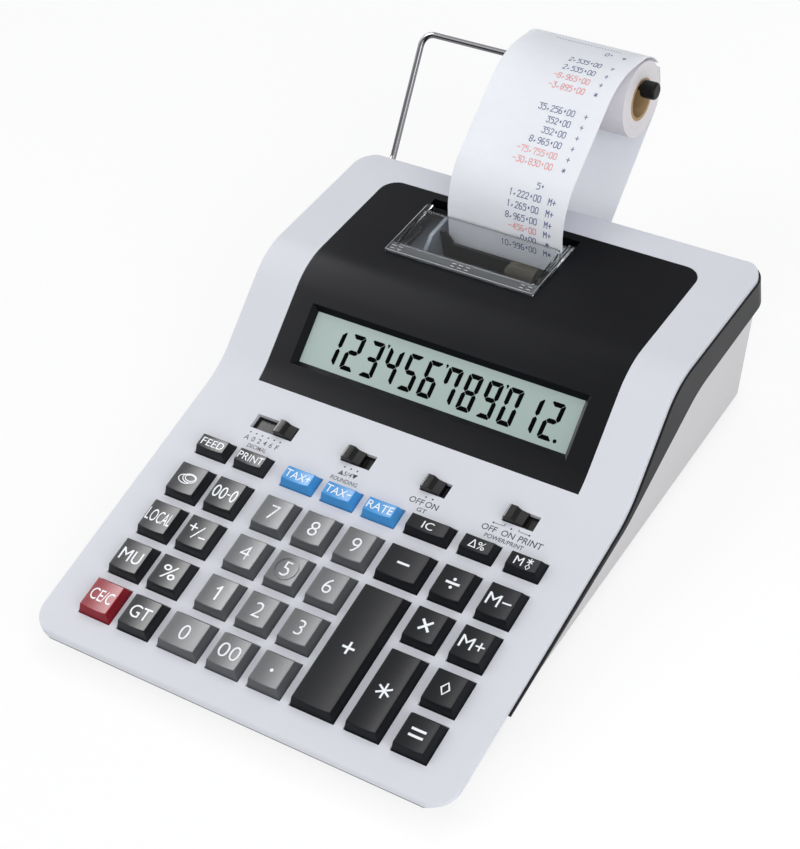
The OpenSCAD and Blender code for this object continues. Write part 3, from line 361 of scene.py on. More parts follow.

# %% [markdown]
# ## Clear plastic, display glass, metal, paper and card
# The cutter is clear polystyrene, so its edges glow and its plate shows the printer. The display is a
# grey-green liquid crystal behind a hard clear face: a coat on a matt base. The arm is drawn and plated steel
# wire. Its dark and light bands are painted reflection: a colour ramp over the way the surface faces in the
# object's own space paints the studio's dark and light into the wire's colour. Paper is matt with faint
# fibres, and the core is brown card whose plies show on its ends.

# %% Clear plastic
finish["clear_plastic"], tree = start_material("clear_plastic", Transmission_Weight=1.0, IOR=1.25,
                                               Specular_Tint=(0.7, 0.7, 0.72, 1))
surface(tree, masks_of(tree, skin, SKIN_MASKS, {"Grain per metre": 260}),
        ((0.82, 0.84, 0.86), (0.88, 0.89, 0.9)), (0.02, 0.07), (0.00002, 0.08))
print("clear plastic, reflecting little")

# %% Display glass
finish["display_glass"], tree = start_material("display_glass", Coat_Weight=1.0, Coat_Roughness=0.04,
                                               Coat_IOR=1.5)
surface(tree, masks_of(tree, skin, SKIN_MASKS, {"Cloud per metre": 25, "Grain per metre": 5200}),
        (linear(125, 148, 142), linear(135, 158, 151)), (0.5, 0.6), (0.000005, 0.05))
print("display glass with a hard coat")


# %% Steel, with painted reflection bands on the wire
def drawn_steel(name, colour, rough):
    mat, tree = start_material(name, Metallic=1.0)
    base = linear(*colour)
    masks = masks_of(tree, fibre, ("Cloud", "Fibre", "Fibre"), {"Fibre per metre": 2600})
    surface(tree, masks, (tuple(c * 0.86 for c in base), base), rough, (0.00001, 0.1))
    return mat


# Painted reflection: a ramp over the surface's facing, in object space, lays dark and light bands into the
# base colour.
def streaks(mat, towards, stops):
    tree = mat.node_tree
    coords = add(tree, "ShaderNodeTexCoord")
    facing = add(tree, "ShaderNodeVectorMath", {1: towards}, operation="DOT_PRODUCT")
    shift = add(tree, "ShaderNodeMath", {1: 0.5, 2: 0.5}, operation="MULTIPLY_ADD")
    ramp = add(tree, "ShaderNodeValToRGB")
    while len(ramp.color_ramp.elements) < len(stops):
        ramp.color_ramp.elements.new(0.5)
    for element, (place, grey) in zip(ramp.color_ramp.elements, stops):
        element.position = place
        element.color = (*linear(grey, grey, grey + 3), 1)
    wire(tree, (coords, "Normal", facing, 0), (facing, "Value", shift, 0), (shift, 0, ramp, "Fac"),
         (ramp, "Color", tree.nodes["Principled BSDF"], "Base Color"))


# Painted reflection bands on the wire: where each grey sits along the ramp.
REFLECTION_BANDS = [(0.3, 60), (0.44, 150), (0.56, 115), (0.625, 40), (0.725, 45), (0.8, 110), (0.95, 170)]
finish["steel_wire"] = drawn_steel("steel_wire", (104, 106, 111), (0.08, 0.15))
streaks(finish["steel_wire"], (0.6, 0.0, 0.8), REFLECTION_BANDS)
finish["steel"] = drawn_steel("steel", (176, 178, 182), (0.25, 0.4))
print("steel for wire and screws")


# %% Paper and card
def pulp(name, low, high, rough, per_metre, depth, **settings):
    mat, tree = start_material(name, **settings)
    masks = masks_of(tree, fibre, ("Fibre", "Cloud", "Fibre"), {"Fibre per metre": per_metre})
    surface(tree, masks, (linear(*low), linear(*high)), rough, (depth, 0.2))
    return mat


finish["paper"] = pulp("paper", (232, 236, 251), (239, 243, 255), (0.6, 0.72), 1400, 0.00001,
                       Subsurface_Weight=0.8, Subsurface_Scale=0.0012, Subsurface_Radius=(1, 1, 1))
finish["core_card"] = pulp("core_card", (168, 138, 96), (198, 168, 124), (0.7, 0.85), 900, 0.00003)
print("paper and card")

# %% [markdown]
# The ends of the roll show its turns: hundreds of paper edges, each a hair apart. They are rings about the
# roll's axis, so the pattern is a noise over the distance from that axis. A Mapping node carries the axis to
# the origin.

# %% Roll ends
low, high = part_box("paper_roll")
roll_y, roll_z, roll_r = (low.y + high.y) / 2, (low.z + high.z) / 2, (high.z - low.z) / 2
finish["wound_paper"], tree = start_material("wound_paper")
coords = add(tree, "ShaderNodeTexCoord")
shift = add(tree, "ShaderNodeMapping", {"Location": (0, -roll_y, -roll_z), "Scale": (0, 1, 1)})
reach = add(tree, "ShaderNodeVectorMath", operation="LENGTH")
turns = add(tree, "ShaderNodeTexNoise", {"Scale": 2600, "Detail": 2}, noise_dimensions="1D")
wire(tree, (coords, "Object", shift, "Vector"), (shift, "Vector", reach, 0), (reach, "Value", turns, "W"))
surface(tree, [(turns, 0)] * 3, (linear(214, 208, 212), linear(250, 246, 248)), (0.62, 0.75), (0.00006, 0.4))
print("roll of radius", round(roll_r / MM, 1), "mm")

# %% [markdown]
# ## Finishes on the solids, and softer edges
# A moulded part has no knife edges. Each solid's triangles are welded, its flat faces joined, its sharp edges
# given a small bevel, and its curves shaded smooth up to an angle. All of it is done by modifiers, so the
# solids themselves stay as they were packed. Smoothing by angle is a small Geometry Nodes tree that every
# solid shares. The helper that starts a tree also gives the identifiers of its inputs, because a modifier's
# input is set by identifier.


# %% Smooth faces by angle
def new_tree(name, sizes):
    tree = bpy.data.node_groups.new(name, "GeometryNodeTree")
    tree.interface.new_socket("Geometry", in_out="INPUT", socket_type="NodeSocketGeometry")
    keys = {}
    for label, kind, value in sizes:
        socket = tree.interface.new_socket(label, in_out="INPUT", socket_type="NodeSocket" + kind)
        if value is not None:
            socket.default_value = value
        keys[label] = socket.identifier
    tree.interface.new_socket("Geometry", in_out="OUTPUT", socket_type="NodeSocketGeometry")
    return tree, keys, add(tree, "NodeGroupInput"), add(tree, "NodeGroupOutput")


smooth_faces, smooth_keys, given, result = new_tree("smooth_faces", [("Angle", "Float", math.radians(32))])
bend = add(smooth_faces, "GeometryNodeInputMeshEdgeAngle")
soft = add(smooth_faces, "FunctionNodeCompare", operation="LESS_EQUAL")
by_edge = add(smooth_faces, "GeometryNodeSetShadeSmooth", domain="EDGE")
by_face = add(smooth_faces, "GeometryNodeSetShadeSmooth")
wire(smooth_faces, (bend, "Unsigned Angle", soft, 0), (given, "Angle", soft, 1),
     (given, "Geometry", by_face, "Geometry"), (by_face, 0, by_edge, "Geometry"),
     (soft, 0, by_edge, "Shade Smooth"), (by_edge, 0, result, 0))
print("tree", smooth_faces.name)

# %% Dress the solids
WELD_REACH, FLAT_ANGLE = 0.000004, math.radians(0.4)


def dress(name, material, width=0.0, segments=2, angle=32):
    obj = nodes[name]
    obj.data.materials.clear()
    obj.data.materials.append(finish[material])
    obj.modifiers.new("weld seams", "WELD").merge_threshold = WELD_REACH
    if width:
        flat = obj.modifiers.new("join flat faces", "DECIMATE")
        flat.decimate_type = "DISSOLVE"
        flat.angle_limit = FLAT_ANGLE
        edge = obj.modifiers.new("round edges", "BEVEL")
        edge.width = width * MM
        edge.segments = segments
        edge.limit_method = "ANGLE"
        edge.angle_limit = math.radians(angle)
    shade = obj.modifiers.new("smooth faces", "NODES")
    shade.node_group = smooth_faces
    shade[smooth_keys["Angle"]] = math.radians(angle)
    if width:
        obj.modifiers.new("even shading", "WEIGHTED_NORMAL").keep_sharp = True


solids = [
    ("top_casing", "upper_casing", 0.35), ("bottom_casing", "lower_casing", 0.4), ("side_trim", "trim", 0.3),
    ("display_panel", "panel", 0.3), ("lcd_module", "display_glass", 0.1), ("circuit_boards", "board"),
    ("key_mat", "mat"), ("printer_frame", "printer", 0.3), ("platen_roller", "platen_rubber"),
    ("print_carriage", "chassis", 0.25), ("ink_roller", "ink_foam"), ("paper_cutter", "clear_plastic", 0.25),
    ("wire_holder", "steel_wire", 0.0, 2, 50), ("wire_cap", "cap", 1.3, 4), ("paper_strip", "paper"),
    ("paper_roll", "wound_paper"), ("roll_core", "core_card"), ("rubber_feet", "feet_rubber", 0.5),
    ("case_screws", "steel", 0.2), ("decimal_knob", "knob", 0.3), ("rounding_knob", "knob", 0.3),
    ("total_knob", "knob", 0.3), ("power_knob", "knob", 0.3)]
for row in solids:
    dress(*row)
print("dressed", len(solids), "solids")

# %% [markdown]
# ## The key deck
# Keys sit on a tilted deck, so one helper gives any place on it: across, along, and height above the face. A
# key's own middle comes from its packed box. The lowest point in Y is the key's front foot, the highest its
# rear ledge, and those two give its middle along the deck.

# %% Deck frame and keys
TILT, DECK_Z = math.radians(9.8), 12 * MM
KEY_H, KEY_DISH, LEDGE, LEDGE_LOW = 4.6 * MM, 0.6 * MM, 0.8 * MM, 3.07 * MM
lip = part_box("top_casing")[0].y


def deck_matrix(x, v):
    y = lip + v * math.cos(TILT)
    z = DECK_Z + v * math.sin(TILT)
    return Matrix.Translation((x, y, z)) @ Matrix.Rotation(TILT, 4, "X")


def key_place(name):
    low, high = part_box(name)
    front = (low.y - lip) / math.cos(TILT)
    rear = (high.y - lip - LEDGE_LOW * math.sin(TILT)) / math.cos(TILT)
    return (low.x + high.x) / 2, (front + rear) / 2, high.x - low.x - 2 * LEDGE


key_names = [n for n in nodes if n.startswith("key_") and n != "key_mat"]
tints = {"key_tax_plus": "blue_key", "key_tax_minus": "blue_key", "key_rate": "blue_key",
         "key_clear": "red_key"}
left_keys = ("key_feed", "key_print", "key_currency", "key_shift", "key_local", "key_sign", "key_markup",
             "key_percent", "key_grand_total")
for name in key_names:
    number = name[4:].isdigit() or name == "key_point"
    plain = "number_key" if number else "dark_key" if name in left_keys else "black_key"
    dress(name, tints.get(name, plain), 0.45, 3, 24)
print("keys", len(key_names), "five sits at", [round(v / MM, 1) for v in key_place("key_5")])

# %% [markdown]
# ## Legends on the keys
# The legends are printed in white ink. Blender's own sans letter shapes serve as the type: each word is made
# as a flat text, turned into a mesh, sized by its real height, and cut into strips so that it can follow the
# hollow of the key top. A thin wall closes it, and its underside lies inside the key, so nothing floats from
# any side. The helpers that draw take millimetres.

# %% Flat shapes
def flat_text(words, height=None, width=None, weight=0.0):
    curve = bpy.data.curves.new("type", "FONT")
    curve.body = words
    curve.resolution_u = 5
    curve.offset = weight
    obj = placed("type", curve)
    bpy.context.view_layer.update()
    mesh = bpy.data.meshes.new_from_object(obj.evaluated_get(bpy.context.evaluated_depsgraph_get()))
    bpy.data.objects.remove(obj)
    bm = bmesh.new()
    bm.from_mesh(mesh)
    bpy.data.meshes.remove(mesh)
    bmesh.ops.remove_doubles(bm, verts=bm.verts, dist=0.00001)
    xs, ys = [v.co.x for v in bm.verts], [v.co.y for v in bm.verts]
    w, h = max(xs) - min(xs), max(ys) - min(ys)
    mid_x, mid_y = (max(xs) + min(xs)) / 2, (max(ys) + min(ys)) / 2
    sy = height * MM / h if height else width * MM / w
    sx = width * MM / w if width else sy
    for v in bm.verts:
        v.co = ((v.co.x - mid_x) * sx, (v.co.y - mid_y) * sy, 0)
    return bm


def sheet(points):
    bm = bmesh.new()
    bm.faces.new([bm.verts.new((x * MM, y * MM, 0)) for x, y in points])
    return bm


def stroke(points, width, closed=False):
    bm = bmesh.new()
    pts = [Vector((x * MM, y * MM, 0)) for x, y in points]
    n = len(pts)
    sides = []
    for i, p in enumerate(pts):
        a = pts[i - 1] if (closed or i) else p
        b = pts[(i + 1) % n] if (closed or i < n - 1) else p
        d = (b - a).normalized()
        side = Vector((-d.y, d.x, 0)) * (width * MM) / 2
        sides.append((bm.verts.new(p + side), bm.verts.new(p - side)))
    for i in range(n if closed else n - 1):
        (a, b), (c, d) = sides[i], sides[(i + 1) % n]
        bm.faces.new((b, d, c, a))
    return bm


def oval(x, y, rx, ry, start=0, end=360, n=40):
    span = [math.radians(start + (end - start) * i / n) for i in range(n + 1)]
    if end - start == 360:
        span.pop()
    return [(x + rx * math.cos(a), y + ry * math.sin(a)) for a in span]


def move(bm, x, y):
    bmesh.ops.translate(bm, verts=bm.verts, vec=(x * MM, y * MM, 0))
    return bm


def join(parts):
    whole = bmesh.new()
    for part in parts:
        mesh = bpy.data.meshes.new("part")
        part.to_mesh(mesh)
        part.free()
        whole.from_mesh(mesh)
        bpy.data.meshes.remove(mesh)
    return whole


print("helpers for flat shapes")

# %% Ink
white_ink = moulded("white_ink", (234, 237, 241), 0.02, (0.5, 0.6), grain=INK_GRAIN)
dark_ink = moulded("dark_ink", (36, 37, 41), 0.06, (0.5, 0.6), grain=INK_GRAIN)


def solid_from(name, bm, matrix=None, material=None):
    mesh = bpy.data.meshes.new(name)
    bm.to_mesh(mesh)
    bm.free()
    if matrix is not None:
        mesh.transform(matrix)
    if material is not None:
        mesh.materials.append(material)
    return placed(name, mesh)


def inked(name, bm, matrix, rise, body, ink, thick=0.06 * MM, strip=0.9 * MM):
    xs = [v.co.x for v in bm.verts]
    cut = math.floor(min(xs) / strip) * strip
    while cut < max(xs):
        geom = bm.verts[:] + bm.edges[:] + bm.faces[:]
        bmesh.ops.bisect_plane(bm, geom=geom, dist=1e-7, plane_co=(cut, 0, 0), plane_no=(1, 0, 0))
        cut += strip
    bmesh.ops.recalc_face_normals(bm, faces=bm.faces)
    bmesh.ops.reverse_faces(bm, faces=[f for f in bm.faces if f.normal.z < 0])
    rim = [e for e in bm.edges if e.is_boundary]
    twin = {v: bm.verts.new((v.co.x, v.co.y, -thick)) for v in bm.verts[:]}
    for f in bm.faces[:]:
        bm.faces.new([twin[v] for v in reversed(f.verts)])
    for e in rim:
        a, b = e.link_loops[0].vert, e.link_loops[0].link_loop_next.vert
        bm.faces.new((b, a, twin[a], twin[b]))
    for v in bm.verts:
        v.co.z += rise(v.co.x) + thick / 2
    obj = solid_from(name, bm, matrix, ink)
    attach(obj, body)
    return obj


def level(height):
    return lambda u: height


print("two inks and the helper that lays them on")

# %% [markdown]
# Most legends are plain words or signs with a height and a width. Some need drawing: the two coins of the
# currency key, the sign key's plus and minus about a slash, the shift key's short arrow, the one with its
# flag, and the stars and diamonds of the total keys. Digits are drawn a little thinner than the type.

# %% Legend words
THIN, BOLD = -0.009, 0.008
words = {
    "key_feed": ("FEED", 3.5, 11), "key_print": ("PRINT", 3.5, 12.4), "key_tax_plus": ("TAX+", 3.6, 12.2),
    "key_tax_minus": ("TAX−", 3.6, 12.2), "key_rate": ("RATE", 3.6, 12), "key_item_count": ("IC", 3.4, 5),
    "key_delta_percent": ("Δ%", 3.7, 7.2), "key_minus": ("−", None, 5.6), "key_divide": ("÷", 5.2, 6.2),
    "key_memory_minus": ("M−", 5.4, 10.6), "key_local": ("LOCAL", 5.9, 12.4), "key_plus": ("+", 5.6, 5.6),
    "key_multiply": ("×", 5.4, 5.4), "key_memory_plus": ("M+", 5.4, 10.6), "key_markup": ("MU", 5.8, 10.2),
    "key_percent": ("%", 6.4, 7.4), "key_clear": ("CE/C", 5.4, 10.8), "key_grand_total": ("GT", 5.8, 9.4),
    "key_00": ("00", 6.4, 9.8), "key_equals": ("=", 3.8, 6.4), "key_point": (".", None, 1.5),
}
for n in range(10):
    words["key_%d" % n] = (str(n), 6.8, None)
print("legends in type", len(words))


# %% Drawn legends
def diamond(x, y, w, h, width):
    corners = ((0, h / 2), (w / 2, 0), (0, -h / 2), (-w / 2, 0))
    return stroke([(x + a, y + b) for a, b in corners], width, True)


def star(x, y, reach, half):
    bm = bmesh.new()
    rim = []
    for k in range(6):
        along, between = k * math.pi / 3, k * math.pi / 3 + math.pi / 6
        arm = Vector((math.sin(along), math.cos(along)))
        across = Vector((arm.y, -arm.x))
        notch = Vector((math.sin(between), math.cos(between))) * 2 * half
        rim += [arm * reach - across * half, arm * reach + across * half, notch]
    middle = bm.verts.new((x * MM, y * MM, 0))
    rim = [bm.verts.new(((x + p.x) * MM, (y + p.y) * MM, 0)) for p in rim]
    for a, b in zip(rim, rim[1:] + rim[:1]):
        bm.faces.new((middle, b, a))
    return bm


def legend_shape(name):
    if name == "key_currency":
        return join([stroke(oval(0.7, 0.5, 3.3, 2.1), 0.4, True),
                     stroke(oval(0.9, 0.75, 2.5, 1.5), 0.4, True),
                     stroke(oval(-0.9, -0.3, 3.3, 2.1, 78, 318), 0.4)])
    if name == "key_sign":
        return join([move(flat_text("+", 3.8), -3.1, 1.8), stroke([(-1.8, -3.2), (1.8, 3.2)], 0.55),
                     move(flat_text("−", None, 3.4), 3.2, -1.9)])
    if name == "key_memory_total":
        return join([move(flat_text("M", 3.8), -2.2, 0), star(2.3, 1.2, 1.4, 0.22),
                     diamond(2.3, -1.4, 1.9, 2.4, 0.4)])
    if name == "key_subtotal":
        return diamond(0, 0, 3.6, 5.4, 0.75)
    if name == "key_total":
        return star(0, 0, 3.4, 0.42)
    if name == "key_shift":
        return join([move(flat_text("00", 6.0, 6.2), -2.7, 0), move(flat_text("0", 6.0, 2.9), 4.3, 0),
                     stroke([(0.85, 0), (2.4, 0)], 0.6)])
    if name == "key_1":
        return join([stroke([(0.5, -3.4), (0.5, 3.4)], 0.85),
                     stroke([(-1.3, 1.55), (-0.2, 2.1), (0.4, 3.2)], 0.75)])
    text, height, width = words[name]
    return flat_text(text, height, width, THIN if text.isdigit() else 0.0)


print("drawn legends ready")

# %% Legends and touch ring
KEY_EDGE, INK_LIFT, RING_LIFT, RING_R, RING_THICK = 1.1 * MM, 0.02 * MM, 0.1 * MM, 5.0, 0.25 * MM


def key_top(name, lift):
    x, v, wide = key_place(name)
    half = wide / 2 - KEY_EDGE
    return deck_matrix(x, v), lambda u: KEY_H - KEY_DISH * (1 - (u / half) ** 2) + lift


for name in key_names:
    inked("legend_" + name[4:], legend_shape(name), *key_top(name, INK_LIFT), name, white_ink)
ring = stroke(oval(0, 0, RING_R, RING_R), 0.4, True)
ring = inked("touch_ring", ring, *key_top("key_5", RING_LIFT), "key_5", finish["number_key"], RING_THICK)
print("legends", len(key_names))

# %% [markdown]
# ## Marks at the switches
# Small dark print on the deck tells what each switch position does: a dot for each position, its letter
# below, and the switch's name in smaller type. The dots repeat along a line, so a Geometry Nodes tree makes
# them: a mesh line of the given count and pitch, a small disc on each point, then one real mesh.


# %% Dot row tree
def from_tree(name, tree, keys, values, base=None):
    host = placed(name + "_host", base or bpy.data.meshes.new(name + "_host"))
    mod = host.modifiers.new("tree", "NODES")
    mod.node_group = tree
    for label, value in values.items():
        mod[keys[label]] = value
    host.update_tag()
    bpy.context.view_layer.update()
    mesh = bpy.data.meshes.new_from_object(host.evaluated_get(bpy.context.evaluated_depsgraph_get()))
    host.modifiers.clear()
    bpy.data.objects.remove(host)
    mesh.name = name
    return placed(name, mesh)


dots, dot_keys, given, result = new_tree(
    "dot_row", [("Count", "Int", 3), ("Pitch", "Float", 0.003), ("Radius", "Float", 0.0003),
                ("Thickness", "Float", 0.00006), ("Ink", "Material", None)])
line = add(dots, "GeometryNodeMeshLine")
step = add(dots, "ShaderNodeCombineXYZ")
disc = add(dots, "GeometryNodeMeshCylinder", {"Vertices": 14})
scatter = add(dots, "GeometryNodeInstanceOnPoints")
real = add(dots, "GeometryNodeRealizeInstances")
coat = add(dots, "GeometryNodeSetMaterial")
wire(dots, (given, "Count", line, "Count"), (given, "Pitch", step, 0), (step, 0, line, "Offset"),
     (given, "Radius", disc, "Radius"), (given, "Thickness", disc, "Depth"), (line, 0, scatter, "Points"),
     (disc, "Mesh", scatter, "Instance"), (scatter, 0, real, 0), (real, 0, coat, "Geometry"),
     (given, "Ink", coat, "Material"), (coat, 0, result, 0))
print("tree", dots.name)

# %% Switch marks
DOT_V, MARK_V, TITLE_V = 117.5 * MM, 114.6 * MM, 111.2 * MM
DOT_R, TITLE_H, LEAD = 0.42 * MM, 1.9, 0.24
on_deck = level(0.01 * MM)
decimals = list(zip((-66.6, -63.3, -60.2, -57.3, -54.3, -51.2), "A0246F"))
switches = [
    ("decimal", -66.5, 3.05, decimals, 2.4, "DECIMAL", -59.2, 9.6),
    ("rounding", -18.4, 3.1, [(-18.4, "▲"), (-15.1, "5/4"), (-12.0, "▼")], 2.2, "ROUNDING", -15.0, 13),
    ("total", 21.2, 3.15, [(18.5, "OFF"), (25.7, "ON")], 2.8, "GT", 22.8, 4.4),
    ("power", 52.9, 8.2, [(52.6, "OFF"), (61.2, "ON"), (71.4, "PRINT")], 2.8, "POWER/PRINT", 61.2, 17.6),
]
for name, first, pitch, marks, height, title, middle, wide in switches:
    sizes = {"Count": len(marks), "Pitch": pitch * MM, "Radius": DOT_R, "Ink": dark_ink}
    row = from_tree("dots_" + name, dots, dot_keys, sizes)
    row.data.transform(deck_matrix(first * MM, DOT_V))
    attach(row, "calculator")
    signs = join([move(flat_text(sign, height, None, BOLD), x, 0) for x, sign in marks])
    inked("marks_" + name, signs, deck_matrix(0, MARK_V), on_deck, "calculator", dark_ink)
    heading = flat_text(title, TITLE_H, wide, BOLD)
    inked("title_" + name, heading, deck_matrix(middle * MM, TITLE_V), on_deck, "calculator", dark_ink)
lines = ([(52.9, 0), (57.8, 0.1)], [(57.7, 0), (57.7, 1.3)], [(64.2, 0.1), (69.3, 0)],
         [(64.3, 0), (64.3, 1.1)])
leads = join([stroke(points, LEAD) for points in lines])
inked("leads_power", leads, deck_matrix(0, DOT_V), on_deck, "calculator", dark_ink)
print("marks at", len(switches), "switches")

# %% [markdown]
# ## Digits in the display
# Each digit is built from seven bars with mitred ends and cut corners, so that they nearly meet. The bars
# have four outlines: the level ones at top and bottom, the one in the middle, and the uprights, which come
# in two mirrored kinds. A Geometry Nodes tree stands one bar on each point of a cloud, turns it by the
# point's own attribute, leans the whole row by a shear, and makes it one mesh. The clouds are worked out here
# from a table of lit bars for each figure. Sizes are in millimetres: half of a digit's width and a quarter
# of its height between the middles of its bars, half of a bar, the slit between bars and the cut corners.

# %% Segment bars
W, Q, B, SLIT, CUT = 2.5, 14.2 / 4, 1.0, 0.11, 0.5
outlines = {
    "level": [(-W - B + 2 * CUT, B), (-W - B + CUT + SLIT, B - CUT), (-W + B + SLIT, -B), (W - B - SLIT, -B),
              (W + B - CUT - SLIT, B - CUT), (W + B - 2 * CUT, B)],
    "middle": [(-W + SLIT, 0), (-W + B + SLIT, -B), (W - B - SLIT, -B), (W - SLIT, 0), (W - B - SLIT, B),
               (-W + B + SLIT, B)],
    "upright": [(-B, -Q + B + SLIT), (0, -Q + SLIT), (B, -Q + B + SLIT), (B, Q - B - SLIT),
                (-B + CUT, Q + B - CUT - SLIT), (-B, Q + B - 2 * CUT)],
}
outlines["mirrored"] = [(-x, y) for x, y in reversed(outlines["upright"])]


def bar_object(outline, thick):
    bm = bmesh.new()
    rings = [[bm.verts.new((x * MM, y * MM, z)) for x, y in outline] for z in (-thick / 2, thick / 2)]
    bm.faces.new(rings[1])
    bm.faces.new(rings[0][::-1])
    for i in range(len(outline)):
        j = (i + 1) % len(outline)
        bm.faces.new((rings[0][i], rings[0][j], rings[1][j], rings[1][i]))
    bmesh.ops.recalc_face_normals(bm, faces=bm.faces)
    return solid_from("segment_bar", bm)


print("bar outlines", list(outlines))

# %% Lit segments tree
segs, seg_keys, given, result = new_tree(
    "lit_segments", [("Bar", "Object", None), ("Lean", "Float", 0.2), ("Ink", "Material", None)])
info = add(segs, "GeometryNodeObjectInfo")
angle = add(segs, "GeometryNodeInputNamedAttribute", {"Name": "turn"})
spin = add(segs, "ShaderNodeCombineXYZ")
stand = add(segs, "GeometryNodeInstanceOnPoints")
real = add(segs, "GeometryNodeRealizeInstances")
shear = add(segs, "GeometryNodeSetPosition")
where = add(segs, "GeometryNodeInputPosition")
parts = add(segs, "ShaderNodeSeparateXYZ")
lean = add(segs, "ShaderNodeMath", operation="MULTIPLY")
offset = add(segs, "ShaderNodeCombineXYZ")
coat = add(segs, "GeometryNodeSetMaterial")
wire(segs, (given, "Bar", info, "Object"), (given, "Geometry", stand, "Points"),
     (info, "Geometry", stand, "Instance"), (angle, "Attribute", spin, 2), (spin, 0, stand, "Rotation"),
     (stand, 0, real, 0), (where, 0, parts, 0), (parts, 1, lean, 0), (given, "Lean", lean, 1),
     (lean, 0, offset, 0), (real, 0, shear, "Geometry"), (offset, 0, shear, "Offset"),
     (shear, 0, coat, "Geometry"), (given, "Ink", coat, "Material"), (coat, 0, result, 0))


def on_points(name, points, outline, thick, slant, ink, matrix, body):
    cloud = bpy.data.meshes.new(name + "_points")
    cloud.from_pydata([Vector(p) * MM for p, turned in points], [], [])
    turn = cloud.attributes.new("turn", "FLOAT", "POINT")
    turn.data.foreach_set("value", [turned for p, turned in points])
    bar = bar_object(outline, thick)
    shown = from_tree(name, segs, seg_keys, {"Bar": bar, "Lean": slant, "Ink": ink}, cloud)
    bpy.data.objects.remove(bar)
    shown.data.transform(matrix)
    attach(shown, body)


print("tree", segs.name)

# %% Display digits
LEAN, PITCH, MIDDLE, RAISE, BAR_THICK = 0.06, 9.67, 1.3, -0.75, 0.05 * MM
SLOPE, GLASS_RISE = math.radians(35.7), 1.4 * MM
lit = {"0": "abcdef", "1": "bc", "2": "abged", "3": "abgcd", "4": "fgbc", "5": "afgcd", "6": "afgedc",
       "7": "fabc", "8": "abcdefg", "9": "abcdfg"}
places = {"a": ("level", 0, 2 * Q, 0), "g": ("middle", 0, 0, 0), "d": ("level", 0, -2 * Q, 1),
          "f": ("upright", -W, Q, 0), "c": ("upright", W, -Q, 1), "b": ("mirrored", W, Q, 0),
          "e": ("mirrored", -W, -Q, 1)}
segment_ink = moulded("segment_ink", (10, 11, 11), 0.1, (0.4, 0.5), 0.0, INK_GRAIN)
low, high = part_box("lcd_module")
glass_mid = (low + high) / 2 + Vector((0, -math.sin(SLOPE), math.cos(SLOPE))) * GLASS_RISE
on_glass = Matrix.Translation(glass_mid) @ Matrix.Rotation(SLOPE, 4, "X")


def digit_x(i):
    return (i - 5.5) * PITCH + MIDDLE


rows = {kind: [] for kind in outlines}
for i, figure in enumerate("123456789012"):
    for name in lit[figure]:
        kind, x, y, turned = places[name]
        rows[kind].append(((digit_x(i) + x, y, 0), turned * math.pi))
for kind, points in rows.items():
    on_points("digits_" + kind, points, outlines[kind], BAR_THICK, LEAN, segment_ink,
              on_glass @ Matrix.Translation((0, RAISE * MM, 0.01 * MM)), "calculator")
print("display bars", sum(len(points) for points in rows.values()))

# %% [markdown]
# A small comma hangs at the top after each third figure, and a round point closes the row at the foot.

# %% Commas and point
TAIL = [(-0.45, 0.75), (-0.65, 0.1), (-0.15, -0.2), (-0.35, -0.9), (0.1, -0.9), (0.65, 0.1), (0.45, 0.75)]
COMMA_X, COMMA_Y, POINT_X, POINT_Y, POINT_R = W + 2.85, 2 * Q + 0.5, W + 1.9, -2 * Q - 0.1, 0.85 * MM
marks = [sheet([(digit_x(i) + COMMA_X + x, COMMA_Y + RAISE + y) for x, y in TAIL]) for i in (2, 5, 8)]
disc = bmesh.new()
bmesh.ops.create_circle(disc, cap_ends=True, radius=POINT_R, segments=20)
marks.append(move(disc, digit_x(11) + POINT_X, POINT_Y + RAISE))
inked("display_marks", join(marks), on_glass, level(0.0), "calculator", segment_ink)
print("display commas and point")

# %% [markdown]
# ## Frosted flange of the cutter, with painted reflection and highlights
# The clear cutter's front flange is frosted on its underside, so it looks grey while its edges stay bright.
# The frosted skin is a thin grey film with round corners just inside the flange's lower face, found from the
# solid's front edge; its grey is partly the frosting and partly a painted reflection of the flange's gloss.
# It rides on the cutter, so it lifts with it. The glints on the raised grip marks and the flange's rim are
# painted highlights: small pale bars inside the marks, stood on a cloud of points by the tree that made
# the digits, and a thin pale line inside the rim.

# %% Etched film
TOP_FALL, MARGIN, BEND_R, DEPTH = math.radians(1.8), 0.5, 1.2, 6.4
FILM_LIFT, WIDE_STRIP = 0.1 * MM, 6 * MM
edge = min((corner.co for corner in nodes["paper_cutter"].data.vertices), key=lambda co: co.y)
on_flange = Matrix.Translation((0, edge.y, edge.z)) @ Matrix.Rotation(-TOP_FALL, 4, "X")
left, right = [corner.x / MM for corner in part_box("paper_cutter")]
# Partly painted reflection: the film's dark grey stands for the frosting and for the flange's reflection.
frost_and_reflection_grey = moulded("etched_film", (58, 60, 63), 0.18, (0.45, 0.65), grain=(1500, 0.00006, 0.6))
inset = MARGIN + BEND_R
bends = [(right - inset, DEPTH - BEND_R), (left + inset, DEPTH - BEND_R), (left + inset, inset),
         (right - inset, inset)]
arcs = [oval(x, y, BEND_R, BEND_R, 90 * k, 90 * k + 90, 6) for k, (x, y) in enumerate(bends)]
film = sheet([p for arc in arcs for p in arc])
inked("etched_film", film, on_flange, level(FILM_LIFT), "cutter", frost_and_reflection_grey, strip=WIDE_STRIP)
print("film from", round(left, 1), "to", round(right, 1), "mm")

